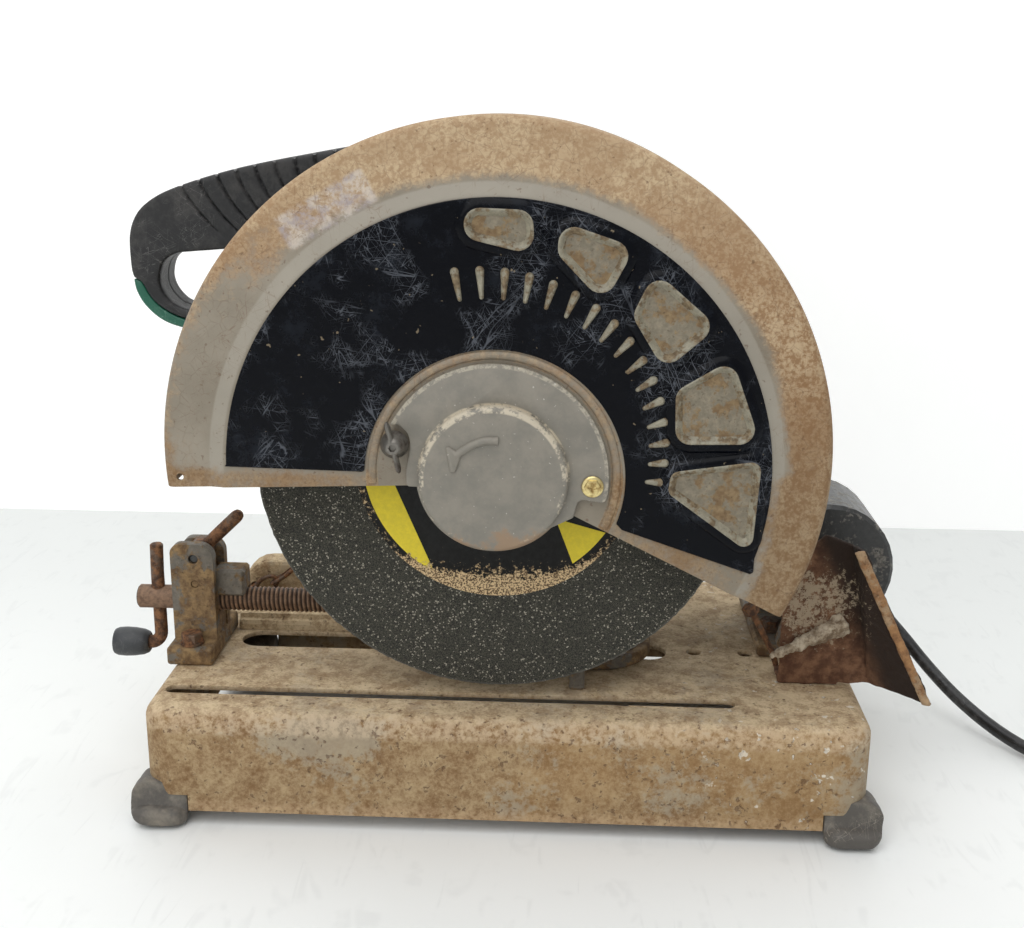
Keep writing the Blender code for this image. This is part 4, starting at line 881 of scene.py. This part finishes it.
def guard():
    r, wall, step = GUARD_RADIUS, 0.002, 0.0026
    profile = [(0, step)] + quarter(r, step, 0.0052) + [(r, GUARD_DEPTH), (r - wall, GUARD_DEPTH)]
    profile += [(r - wall - 0.0034 + a, step + b) for a, b in ((0.0034, 0.0054), (0.0024, 0.003), (0, wall))]
    profile += [(0, step + wall)]
    raised = turned([(0, 0), (0.1528, 0), (0.154, 0.0002), (0.1552, 0.0007), (0.1602, step - 0.0004),
                     (0.1618, step + 0.0002), (0.1618, step + 0.001), (0, step + 0.001)], "Y", (0, 0), 240)
    shell = join(turned(profile, "Y", GUARD_CENTRE, 240), raised)
    shell = cut(shell, open_wedge(-0.05, 0.1), through(0, 0, 0.034, 48), through(*COVER_SCREW, 0.0028, 16),
                through(-0.1788, -0.0052, 0.0021, 20))
    rib = polar_strip(bead(0.0684, 0.0024, 0.0013), -25.0, 184.5, 96)
    piece("guard_shell", together(shell, rib), "guard", "head", "wheel_guard")
    back = disc(r, GUARD_DEPTH + 0.0003, GUARD_DEPTH + 0.0033, GUARD_CENTRE, 200)
    back = cut(back, open_wedge(0.04, 0.1), through(0, 0, 0.044, 48, 0.04, 0.08))
    piece("guard_rear_plate", back, "casting", "head", "guard_back")


# The panel's windows: corner radius, then the corners as (distance from the wheel's axis, degrees).
WINDOWS = [(0.0085, [(0.149, 96.9), (0.148, 82.1), (0.1247, 80.0), (0.1324, 96.5)]),
           (0.0085, [(0.1454, 76.3), (0.148, 59.7), (0.114, 58.9), (0.1282, 74.8)]),
           (0.0085, [(0.1439, 53.6), (0.1478, 35.7), (0.1111, 33.8), (0.1176, 51.0)]),
           (0.0085, [(0.146, 28.2), (0.148, 8.4), (0.1019, 11.7), (0.1112, 27.2)]),
           (0.0052, [(0.1482, 4.8), (0.1508, -16.2), (0.097, -4.2), (0.0985, 2.9)])]


def panel():
    """Black fan-shaped panel with five pressed windows and sixteen pressed drops."""
    face, back = PANEL_FACE + 0.0007, -0.0003
    outline = arc(0.0015, 0.0005, 0.1525, -17.5, 178.9, 110)
    outline += [(-0.152, 0.0025), (-0.0735, 0.001)]
    outline += arc(0.0003, -0.0015, 0.073, 177.0, -20.0, 70)
    outline += [(0.0711, -0.0288), (0.0722, -0.03), (0.145, -0.0546), (0.1468, -0.0535)]
    windows = [([polar(*p) for p in corners], radius) for radius, corners in WINDOWS]
    holes = [prism(offset_outline(*window, 0.0), "Y", -0.01, 0.005) for window in windows]
    piece("panel_sheet", cut(prism(outline, "Y", face, back), *holes), "panel", "head", "guard_panel",
          bevel=0.0004, steps=1)
    frame_profile = ((-0.0052, back), (-0.0052, -0.0012), (-0.0044, -0.002), (-0.003, -0.003),
                     (-0.0014, -0.0034), (0.0, -0.0033), (0.0, back))
    lip_profile = ((0.0, back), (0.0, -0.0033), (0.0006, -0.0036), (0.0015, -0.0032), (0.0024, -0.002),
                   (0.004, -0.0007), (0.0042, back))
    floor_profile = ((0.0036, -0.0006), (0.0036, -0.0001))
    for name, finish, profile, loop in (("panel_window_frames", "panel", frame_profile, True),
                                        ("panel_window_lips", "lip", lip_profile, True),
                                        ("panel_window_floors", "pocket", floor_profile, False)):
        piece(name, together(*[stepped(*window, profile, loop) for window in windows]), finish, "head")
    piece("panel_drops", together(*[pressed_drop(i, face) for i in range(16)]), "lip", "head")


def pressed_drop(index, face):
    """Pressed teardrop: wide at its outer end, longer toward the top of the panel."""
    degrees = 100.7 - 6.78 * index
    climb = (degrees + 1) / 102
    length = 0.0075 + 0.0075 * climb
    middle = 0.089 + 0.019 * climb + 0.0035 * math.sin(math.pi * min(climb, 1.0))
    cosine, sine = polar(1.0, degrees)
    rings = []
    for shrink, y in ((0.0, face + 0.0004), (0.0, face), (0.0004, face - 0.0009), (0.0011, face - 0.0014)):
        wide, narrow = 0.0024 - shrink, 0.0012 - shrink * 0.8
        points = arc(length / 2, 0, wide, -90, 90, 8) + arc(-length / 2, 0, narrow, 90, 270, 8)
        rings.append([((middle + a) * cosine - b * sine, y, (middle + a) * sine + b * cosine)
                      for a, b in points])
    return loft(rings)


def hub_cover():
    """Grey plate with a domed drum over the wheel bolt, an embossed turning mark, and its two fixings."""
    outline = arc(0, 0, 0.0642, -3.0, 153.0, 70)
    outline += smooth_outline([(-0.0525, 0.0292), (-0.0475, 0.024), (-0.0464, 0.017), (-0.0474, 0.01),
                               (-0.0487, 0.003), (-0.0487, -0.0045)], 3)
    outline += [(-0.0478, -0.0062), (-0.03, -0.0065), (0.0, -0.03), (0.03, -0.03),
                (0.0448, -0.0225), (0.0458, -0.018), (0.047, -0.0135), (0.0492, -0.0119),
                (0.056, -0.0128), (0.0608, -0.0134), (0.0628, -0.0122), (0.0638, -0.008)]
    sheet = cut(prism(outline, "Y", COVER_BACK, COVER_FACE), through(0, 0, DRUM_RADIUS - 0.003, 48))
    piece("hub_cover_plate", sheet, "cover", "hub_cover", "sub_cover", bevel=0.0008)
    r, face = DRUM_RADIUS, DRUM_FACE
    profile = [(0, face)] + quarter(r, face, 0.003)
    profile += [(r, COVER_FACE), (r + 0.0016, COVER_FACE + 0.0006), (r + 0.0016, COVER_BACK),
                (r - 0.003, COVER_BACK), (r - 0.003, face + 0.003), (0, face + 0.003)]
    drum = turned(profile, "Y", (0, 0), 128)
    piece("hub_cover_drum", together(drum, turning_mark(face)), "cover", "hub_cover")
    cover_screw()
    wing()


def turning_mark(face):
    """Plain embossed arrow: a bent shaft and a wedge-shaped head."""
    y = face - 0.0002
    shaft = smooth_path([(0.003, y, 0.0229), (-0.004, y, 0.0228), (-0.0105, y, 0.0206),
                         (-0.016, y, 0.0174), (-0.0205, y, 0.0142)], 5)
    head = [(-0.0262, 0.0204), (-0.017, 0.015), (-0.0206, 0.0046), (-0.0236, 0.0046)]
    profile = ((0.0, face + 0.0005), (0.0, face - 0.0008), (0.0004, face - 0.0015), (0.0009, face - 0.0018))
    return join(sweep(shaft, 0.0022, 16), stepped(head, 0.0013, profile))


def cover_screw():
    x, z = COVER_SCREW
    seat = COVER_FACE - 0.0003
    washer = turned([(0, seat), (0.0062, seat), (0.0062, seat - 0.0007), (0.0054, seat - 0.0012),
                     (0, seat - 0.0012)], "Y", COVER_SCREW, 40)
    head = through(x, z, 0.0047, 6, seat - 0.003, seat - 0.0008)
    cross = [box((x - w, seat - 0.006, z - h), (x + w, seat - 0.0018, z + h))
             for w, h in ((0.0024, 0.0006), (0.0006, 0.0024))]
    piece("cover_screw_head", cut(join(washer, head), *cross), "zinc", "head", "cover_screw", bevel=0.00025)


def wing():
    """Wing bolt that clamps the plate's left edge, its two ears tilted a little."""
    x, z = WING_BOLT
    collar = turned([(0, -0.0138), (0.0035, -0.0136), (0.0052, -0.012), (0.0062, -0.008),
                     (0.0078, -0.0056), (0.008, -0.0044), (0, -0.0044)], "Y", WING_BOLT, 32)
    cosine, sine = polar(1.0, 103.6)
    ears = []
    for way in (1, -1):
        rings = []
        for reach, half, thick in ((0.0035, 0.003, 0.0018), (0.007, 0.0022, 0.0016),
                                   (0.0105, 0.0027, 0.0016), (0.0132, 0.0024, 0.0014),
                                   (0.0146, 0.001, 0.0007)):
            cx, cz = x + way * reach * cosine, z + way * reach * sine
            rings.append([(cx - sine * a, -0.0098 - half * 1.25 * b - reach * 0.12, cz + cosine * a)
                          for a, b in ((thick * c, s) for c, s in circle(0, 0, 1.0, 12))])
        ears.append(loft(rings))
    socket = rod("Y", WING_BOLT, 0.0022, -0.02, -0.0118, 6)
    piece("wing_bolt_ears", join(cut(collar, socket), *ears), "wing", "wing", "wing_bolt")


# ---- Wheel
def wheel():
    """Grit disc with a slightly ragged edge, and the paper label glued to its face."""
    random.seed(7)
    front, back, bore, chamfer, count = WHEEL_LOW.y, WHEEL_HIGH.y, 0.0127, 0.0006, 360
    rings = []
    for i in range(count):
        outer = WHEEL_RADIUS - 0.0006 * random.random()
        a, b = polar(1.0, 360 * i / count)
        rings.append([(a * radius, y, b * radius) for radius, y in (
            (bore, front), (outer - chamfer, front), (outer, front + chamfer), (outer, back - chamfer),
            (outer - chamfer, back), (bore, back))])
    piece("grit_wheel", loft(rings, loop=True), "grit", "wheel", "abrasive_wheel")
    inner, rim = 0.0405, 0.0835
    disc_profile = [(inner, front - 0.0003), (rim, front - 0.0003), (rim + 0.0003, front - 0.0001),
                    (inner, front - 0.0001)]
    piece("wheel_label", turned(disc_profile, "Y", (0, 0), 180), "label", "wheel")
    segment = arc(0, 0, 0.079, 164.3, 241.8, 40)
    wedge = arc(0, 0, 0.0768, -54.1, -33.6, 12) + [(0.0345, -0.0345)]
    fields = [prism(outline, "Y", front - 0.0005, front - 0.00035) for outline in (segment, wedge)]
    piece("wheel_label_yellow", together(*fields), "yellow", "wheel")


# ---- Base and feet
def slot_outline(x_from, x_to, y, width):
    radius = width / 2
    return arc(x_to - radius, y, radius, -90, 90, 12) + arc(x_from + radius, y, radius, 90, 270, 12)


def round_pan(shape, corner, rim):
    """Rounds a box's four upright edges, then the rim of its top."""
    bm = bmesh.new()
    bm.from_mesh(shape.data)
    upright = [e for e in bm.edges if abs(e.verts[0].co.z - e.verts[1].co.z) > 0.001]
    bmesh.ops.bevel(bm, geom=upright, offset=corner, segments=12, profile=0.5, affect="EDGES")
    top = max(v.co.z for v in bm.verts)
    edges = [e for e in bm.edges if all(abs(v.co.z - top) < 1e-6 for v in e.verts)]
    bmesh.ops.bevel(bm, geom=edges, offset=rim, segments=7, profile=0.5, affect="EDGES")
    bm.to_mesh(shape.data)
    bm.free()


def base():
    low, high = PAN_LOW, PAN_HIGH
    top = high.z
    outer = box(low, high)
    inner = box((low.x + SHEET, low.y + SHEET, low.z - 0.02), (high.x - SHEET, high.y - SHEET, top - SHEET))
    round_pan(outer, 0.02, 0.009)
    round_pan(inner, 0.017, 0.006)
    wheel_slot = slot_outline(-0.206, 0.146, 0.033, 0.011)
    swarf_slot = slot_outline(-0.178, 0.02, 0.114, 0.026)
    crack = [(0.056, 0.0282), (0.0607, 0.0318), (0.074, 0.0287), (0.0879, 0.0262), (0.101, 0.0247),
             (0.1177, 0.0217), (0.102, 0.0238), (0.087, 0.025), (0.073, 0.0272), (0.064, 0.0276)]
    holes = [circle(0.1623, 0.0665, 0.0017, 16), circle(0.127, 0.11, 0.0052, 24),
             circle(0.161, 0.11, 0.0052, 24), circle(0.0965, 0.108, 0.012, 32)]
    tools = [prism(outline, "Z", top - 0.01, top + 0.01)
             for outline in (wheel_slot, swarf_slot, crack, *holes)]
    notch, rise = 0.028, 0.0105
    for x in (low.x - 0.01, high.x - notch):
        for y in (low.y - 0.01, high.y - notch):
            tools.append(box((x, y, low.z - 0.01), (x + notch + 0.01, y + notch + 0.01, low.z + rise)))
    piece("base_shell", cut(cut(outer, inner), *tools), "base", "base", "base_pan", bevel=0.0006)
    for end in ("front", "rear"):
        for side in ("left", "right"):
            name = f"foot_{end}_{side}"
            piece(f"rubber_{name}", rubber_foot(*span(name)), "foot", "base", name)


def softened(shape, voxel, rounds):
    """Turns a solid into an even fine mesh and rounds all its edges off."""
    remesh = shape.modifiers.new("fine", "REMESH")
    remesh.mode = "VOXEL"
    remesh.voxel_size = voxel
    soften = shape.modifiers.new("soften", "SMOOTH")
    soften.factor = 0.5
    soften.iterations = rounds
    applied(shape)
    return shape


def rubber_foot(low, high):
    """Lump that bulges out past the pan's end, with a low ledge where it passes round the pan's side."""
    foot = softened(box(low, high, bevel=0.01, steps=6), 0.0011, 30)
    middle, centre = (PAN_LOW + PAN_HIGH) / 2, (low + high) / 2
    side = 1 if centre.y > middle.y else -1
    end = 1 if centre.x > middle.x else -1
    face = PAN_HIGH.y if side > 0 else PAN_LOW.y
    for vertex in foot.data.vertices:
        spot = vertex.co
        height = spot.z - low.z
        spot.z -= height * 0.52 * ease((spot.y - face) * side, -0.002, 0.0012)
        rise = height / (high.z - low.z)
        if (spot.x - centre.x) * end > 0:
            spot.x += (centre.x - spot.x) * (0.3 * (1 - rise) ** 2 + 0.16 * rise ** 4)
    lumpy(foot, 0.0006, 95.0, 2.0)
    for vertex in foot.data.vertices:
        vertex.co.z = max(vertex.co.z, low.z)
    return foot


# ---- Vise
def threaded_rod():
    """Screw with a real helical thread between its plain collar and its spigot."""
    start, end, pitch, sides, steps_per_pitch = -0.2165, -0.064, 0.003, 28, 8
    fading, depth = 0.003, 0.0013
    count = int((end - start) / pitch * steps_per_pitch)
    rings = []
    for i in range(count + 1):
        x = start + (end - start) * i / count
        fade = min(ease(x, start, start + fading), 1 - ease(x, end - fading, end))
        ring = []
        for k in range(sides):
            height = abs((x / pitch - k / sides) % 1.0 - 0.5) * 2
            a, b = polar(SCREW_RADIUS - depth * fade * (1 - height), 360 * k / sides)
            ring.append((x, SCREW_Y + a, SCREW_Z + b))
        rings.append(ring)
    return loft(rings)


def vise_screw_group():
    axis = (SCREW_Y, SCREW_Z)
    collar = rod("X", axis, 0.0078, -0.242, -0.216, 32, bevel=0.001)
    collar = cut(collar, rod("Z", (-0.229, SCREW_Y), 0.0046, SCREW_Z - 0.02, SCREW_Z + 0.02, 24))
    spigot = rod("X", axis, 0.005, -0.065, -0.046, 24)
    piece("vise_screw_thread", together(threaded_rod(), collar, spigot), "thread", "crank", "vise_screw")
    bend, x, low, thick = 0.008, -0.229, -0.15, 0.0043
    route = [(x + 0.0006, -0.08), (x + 0.0006, -0.0809), (x, -0.1), (x, low + bend)]
    route += [(x - bend + a, low + bend + b) for a, b in (polar(bend, -t) for t in range(10, 91, 10))]
    route += [(-0.248, low), (-0.256, low)]
    radii = [0.0034] + [thick] * (len(route) - 1)
    bar = sweep([(a, SCREW_Y, b) for a, b in route], radii, 24)
    piece("crank_bar", bar, "brown", "crank", "crank_rod")
    profile = [(0, -0.2564), (0.0046, -0.2564), (0.0046, -0.2372), (0.006, -0.237), (0.0072, -0.2378),
               (0.0086, -0.241), (0.0095, -0.247), (0.0098, -0.253), (0.0094, -0.258), (0.0084, -0.2603),
               (0.0068, -0.2608), (0, -0.2608)]
    piece("crank_grip", turned(profile, "X", (SCREW_Y, low), 40), "knob", "crank", "crank_knob")


def vise_holder():
    low, high = span("vise_holder")
    left, right, z = low.x, high.x, low.z
    foot = box((left, low.y, z), (right, high.y, z + 0.012), bevel=0.0022)
    cheeks = []
    for y, top in ((0.083, -0.0745), (0.1095, -0.079)):
        outline = [(left + 0.001, z + 0.006), (right - 0.001, z + 0.006)]
        outline += arc(right - 0.0105, top - 0.0095, 0.0095, 0, 90, 12)
        outline += arc(left + 0.0075, top - 0.0065, 0.0065, 90, 180, 12)
        cheeks.append(prism(outline, "Y", y, y + 0.0075))
    saddle = box((left + 0.002, 0.09, z + 0.006), (right - 0.002, 0.11, SCREW_Z - 0.004))
    bolts = ((LEVER_PIVOT, 0.0032), ((-0.1993, -0.1015), 0.0026))
    holes = [rod("X", (SCREW_Y, SCREW_Z), SCREW_RADIUS + 0.0004, left - 0.01, right + 0.01)]
    holes += [rod("Y", centre, radius, 0.07, 0.13, 20) for centre, radius in bolts]
    piece("vise_bracket", cut(join(foot, *cheeks, saddle), *holes), "iron", "base", "vise_holder",
          bevel=0.001)
    pins = [rod("Y", centre, radius - 0.0003, 0.085, 0.116, 20, bevel=0.0006) for centre, radius in bolts]
    piece("vise_pins", together(*pins), "casting", "base", slot="brown_steel")


def chain():
    """Two wire links of the head's hold-down chain, the second one seen edge on."""
    links = []
    for centre, along, across in (((-0.1755, 0.1735, -0.137), (0.743, 0, 0.669), (-0.669, 0, 0.743)),
                                  ((-0.1625, 0.1735, -0.1285), (0.819, 0, 0.574), (0, 1, 0))):
        links.append(sweep([Vector(centre) + Vector(along) * 0.01 * a + Vector(across) * 0.0056 * b
                            for a, b in circle(0, 0, 1.0, 32)], 0.0015, 12, closed=True))
    piece("chain_wire", together(*links), "brown", "base")


def vise_lever():
    x, z = LEVER_PIVOT
    profile = [(0, 0.004), (0.004, 0.004), (0.0042, 0.02), (0.0042, 0.0345), (0.004, 0.0365),
               (0.0032, 0.0385), (0.0018, 0.0396), (0, 0.04)]
    arm = aim(turned(profile, "Z", (0, 0), 28), Vector((0.72, 0, 0.69)).normalized(), Vector((x, 0.1, z)))
    eye = rod("Y", LEVER_PIVOT, 0.0078, 0.0912, 0.1088, 36, bevel=0.0008)
    piece("quick_lever", join(eye, arm), "brown", "clutch_arm", "clutch_lever")


def vise_jaw():
    """Jaw plate with upright gripping grooves and two lugs round the yoke's pin."""
    pivot = (-0.049, SCREW_Y)
    low, high = (-0.03, 0.056, -0.14), (-0.02, 0.144, -0.086)
    face, groove = high[0], 0.0015
    block = box(low, high, bevel=0.0016)
    grooves = []
    for i in range(14):
        y = low[1] + 0.0055 + i * 0.0059
        grooves.append(prism([(face + 0.0005, y - groove), (face - 0.0012, y), (face + 0.0005, y + groove)],
                             "Z", low[2] - 0.01, high[2] + 0.01))
    lug = arc(*pivot, 0.0095, 100, 260, 16) + [(-0.026, 0.086), (-0.026, 0.114)]
    lugs = [prism(lug, "Z", z, z + 0.0052) for z in (-0.1337, -0.1036)]
    jaw = cut(join(block, *lugs), rod("Z", pivot, 0.005, -0.15, -0.08, 24), *grooves)
    piece("jaw_plate", jaw, "iron", "jaw", "vise_jaw", bevel=0.0006)


# ---- Spark chute
def lumpy(shape, amount, scale, seed=0.0):
    """Pushes every vertex along its normal by smooth noise."""
    normals = [vertex.normal.copy() for vertex in shape.data.vertices]
    for vertex, normal in zip(shape.data.vertices, normals):
        spot = vertex.co * scale + Vector((seed, seed, seed))
        vertex.co += normal * amount * (noise.noise(spot) + 0.5 * noise.noise(spot * 2.3))
    return shape


def chute_sheet(faces, shift, thickness=0.0026):
    """Bent sheet from flat faces, thick and finely divided."""
    bm = bmesh.new()
    verts = {point: bm.verts.new(point) for point in dict.fromkeys(point for face in faces for point in face)}
    for face in faces:
        bm.faces.new([verts[point] for point in face])
    sheet = loose(bm)
    thick = sheet.modifiers.new("thickness", "SOLIDIFY")
    thick.thickness = thickness
    thick.offset = 0.0
    thick.use_even_offset = True
    softened(applied(sheet), 0.0011, 0)
    sheet.data.transform(Matrix.Translation(shift))
    return sheet


def chute():
    back, front, foot = 0.066, 0.036, span("spark_chute")[0].z
    corners = [(0.176, back, foot), (0.233, back, foot), (0.216, back, -0.06), (0.2, back, -0.054),
               (0.176, back, -0.072)]
    fold_top, fold_low = (0.2165, front, -0.053), (0.264, front, foot)
    lip_top, lip_low = (0.2105, front, -0.0545), (0.2585, front, foot)
    tab_front, tab_back, tab_root = (0.176, 0.088, foot), (0.204, 0.088, foot), (0.204, back, foot)
    sheet = chute_sheet([(corners[0], tab_root, *corners[1:]), (corners[1], fold_low, fold_top, corners[2]),
                         (corners[0], tab_front, tab_back, tab_root)], (0, 0, 0.0014))
    piece("chute_plates", lumpy(sheet, 0.0009, 120.0), "crust", "base", "spark_chute", smooth=60)
    lip = chute_sheet([(fold_low, lip_low, lip_top, fold_top)], (0, -0.0003, 0.0014), 0.003)
    piece("chute_lip", lumpy(lip, 0.0005, 160.0, 5.0), "chute_lip", "base", smooth=60)
    path = smooth_path([(0.215, 0.0625, -0.108), (0.205, 0.061, -0.113), (0.193, 0.06, -0.119),
                        (0.18, 0.059, -0.1255), (0.169, 0.058, -0.1305)], 8)
    count = len(path)
    spike = sweep(path, [0.0008 + 0.0058 * (1 - i / count) ** 0.7 for i in range(count)], 20)
    spike.modifiers.new("fine", "SUBSURF").levels = 1
    piece("chute_slag", lumpy(applied(spike), 0.0018, 210.0, 3.0), "slag", "base", smooth=60)


# ---- Handle
HANDLE_OUTER = [(-0.075, 0.178), (-0.12, 0.17), (-0.165, 0.161), (-0.202, 0.15), (-0.221, 0.141),
                (-0.2315, 0.13), (-0.2355, 0.115), (-0.2345, 0.094), (-0.23, 0.0915), (-0.224, 0.0808),
                (-0.2155, 0.0732), (-0.2015, 0.0672), (-0.1725, 0.062), (-0.1715, 0.056), (-0.12, 0.05),
                (-0.075, 0.046)]
HANDLE_INNER = [(-0.205, 0.109), (-0.213, 0.1045), (-0.2165, 0.0965), (-0.2165, 0.088), (-0.2115, 0.0795),
                (-0.202, 0.074), (-0.17, 0.069), (-0.128, 0.066), (-0.114, 0.072), (-0.11, 0.084),
                (-0.11, 0.1), (-0.116, 0.113), (-0.128, 0.117), (-0.17, 0.112)]
HANDLE_FRONT, HANDLE_BACK = 0.108, 0.142


def handle():
    """Rubber grip: a soft-edged loop with slanting finger grooves and a seam between its halves."""
    grip = prism(smooth_outline(HANDLE_OUTER, 4), "Y", HANDLE_FRONT, HANDLE_BACK)
    loop = smooth_outline(HANDLE_INNER + HANDLE_INNER[:1], 4)[:-1]
    grip = softened(cut(grip, prism(loop, "Y", 0.09, 0.16)), 0.0009, 44)
    groove_grip(grip)
    strut = box((-0.108, 0.0616, 0.056), (-0.078, 0.122, 0.16), bevel=0.004)
    pocket = box((-0.176, 0.117, 0.1), (-0.124, 0.133, 0.134))
    button = rod("Y", (-0.185, 0.128), 0.0064, 0.1285, 0.16, 24)
    piece("grip_rubber", cut(join(grip, strut), pocket, button), "rubber", "head", "handle_front_shell",
          "handle_rear_shell", smooth=50)
    strip = smooth_outline([(-0.234, 0.0925), (-0.2325, 0.0845), (-0.2272, 0.0752), (-0.217, 0.0664),
                            (-0.202, 0.0612), (-0.1722, 0.056)], 5)
    strip += smooth_outline([(-0.1728, 0.0614), (-0.2013, 0.0666), (-0.215, 0.0726), (-0.2233, 0.0802),
                             (-0.2292, 0.0908)], 5)
    piece("grip_green_strip", prism(strip, "Y", HANDLE_FRONT + 0.001, HANDLE_BACK - 0.001), "green", "head",
          "handle_lower_cover", bevel=0.0012, steps=3)


def groove_grip(grip):
    """Nine slanting grooves round the grip's top half, and a fine seam all round its middle."""
    middle = (HANDLE_FRONT + HANDLE_BACK) / 2
    first, pitch, count, low = -0.209, 0.0128, 9, 0.116
    normals = [vertex.normal.copy() for vertex in grip.data.vertices]
    for vertex, normal in zip(grip.data.vertices, normals):
        x, y, z = vertex.co
        slant = x + 0.5 * (z - 0.15) - 10.0 * (z - 0.15) ** 2 - 9.0 * (y - middle) ** 2
        place = (slant - first) / pitch
        depth = 0.0
        if 0 <= place <= count and z > low:
            away = abs(place % 1.0 - 0.5) * 2
            depth = 0.0017 * max(0.0, 1 - away / 0.22) * ease(z, low, 0.126)
        if abs(y - middle) < 0.0009:
            depth = max(depth, 0.0005)
        vertex.co -= normal * depth


# ---- Hidden side: motor, gear case and arm
def motor():
    """Tapered shell with cooling slots, a seam ring and its four long screws."""
    x, z = MOTOR
    profile = [(0.0465, 0.1193), (0.0535, 0.1193), (0.054, 0.12), (0.054, 0.125), (0.053, 0.1268),
               (0.0516, 0.129), (0.0508, 0.17), (0.0503, 0.2), (0.0492, 0.225), (0.048, 0.2392),
               (0.0474, 0.24), (0.0062, 0.24), (0.0062, 0.228), (0.044, 0.226), (0.0458, 0.22)]
    tools = []
    for i in range(24):
        if i % 3:
            a, b = polar(0.05, 15 * i)
            slot = box((-0.0065, 0.15, -0.0016), (0.0065, 0.18, 0.0016), bevel=0.0014, steps=2)
            turn = Matrix.Rotation(-math.radians(15 * i), 4, "Y")
            slot.data.transform(Matrix.Translation((x + a, 0.0, z + b)) @ turn)
            tools.append(slot)
    tools += [rod("Z", (x, 0.212), 0.0088, *ends) for ends in ((z + 0.04, z + 0.06), (z - 0.06, z - 0.04))]
    shell = cut(turned(profile, "Y", MOTOR, 96), *tools)
    piece("motor_shell", shell, "motor", "head", "motor_housing", smooth=40)
    tail = turned([(0, 0.261), (0.02, 0.2608), (0.03, 0.26), (0.038, 0.2582), (0.044, 0.2545),
                   (0.047, 0.2505), (0.048, 0.246), (0.048, 0.2403), (0.0445, 0.2403), (0.044, 0.248),
                   (0.039, 0.253), (0.029, 0.2565), (0, 0.2575)], "Y", MOTOR, 96)
    slots, reach, pitch, half = [], 0.03, 0.0062, 0.0013
    for offset in (pitch * i for i in range(-4, 5)):
        wide = math.sqrt(reach ** 2 - offset ** 2)
        slots.append(box((x - wide, 0.25, z + offset - half), (x + wide, 0.27, z + offset + half),
                         bevel=0.0012, steps=2))
    piece("motor_tail", cut(tail, *slots), "motor", "head", "motor_tail_cover", smooth=40)
    heads = []
    for angle in (45, 135, 225, 315):
        a, b = polar(0.0405, angle)
        heads.append(rod("Y", (x + a, z + b), 0.0036, 0.2555, 0.26, 20, bevel=0.0008))
    piece("motor_screws", together(*heads), "steel", "head")


def case_details():
    """Screws and cast ribs on the gear case and the arm."""
    heads = []
    for x, z in ((-0.046, 0.038), (-0.052, -0.032), (0.006, -0.058), (-0.012, 0.058)):
        heads.append(rod("Y", (x, z), 0.0052, 0.118, 0.1232, 24, bevel=0.0007))
        heads.append(through(x, z, 0.004, 6, 0.123, 0.1262))
    piece("gear_case_screws", together(*heads), "brown", "head", bevel=0.0003)
    start, end = Vector((0.07, -0.045)), Vector(HINGE)
    ribs = []
    for x, z in (start.lerp(end, t) for t in (0.26, 0.42, 0.58)):
        ribs.append(box((x - 0.002, 0.12, z - 0.02), (x + 0.002, 0.1875, z + 0.02), bevel=0.0016, steps=2))
    ring = turned([(0.03, 0.1885), (0.0405, 0.1885), (0.0405, 0.1902), (0.0395, 0.191), (0.031, 0.191),
                   (0.03, 0.1902)], "Y", HINGE, 64)
    piece("arm_ribs", together(*ribs, ring), "casting", "head")


def fence_scale():
    """Angle marks round the fence's pivot plate, as thin dark strips; every third one is longer."""
    x, y, top = 0.062, 0.112, PAN_HIGH.z + 0.0003 + 0.008
    marks = []
    for i in range(10):
        degrees, inner = 100 + 8 * i, 0.0285 if i % 3 else 0.026
        a, b = polar(inner, degrees)
        strip = box((-0.0003, 0, 0), (0.0003, 0.0345 - inner, 0.00025))
        turn = Matrix.Rotation(math.radians(degrees - 90), 4, "Z")
        strip.data.transform(Matrix.Translation((x + a, y + b, top)) @ turn)
        marks.append(strip)
    piece("fence_marks", together(*marks), "brown", "angle_fence")


def build():
    repaint_nodes()
    make_camera()
    make_cord()
    make_stage()
    for make in (guard, panel, hub_cover, wheel, base, vise_screw_group, vise_holder, chain, vise_lever,
                 vise_jaw, chute, handle, motor, case_details, fence_scale):
        make()


build()
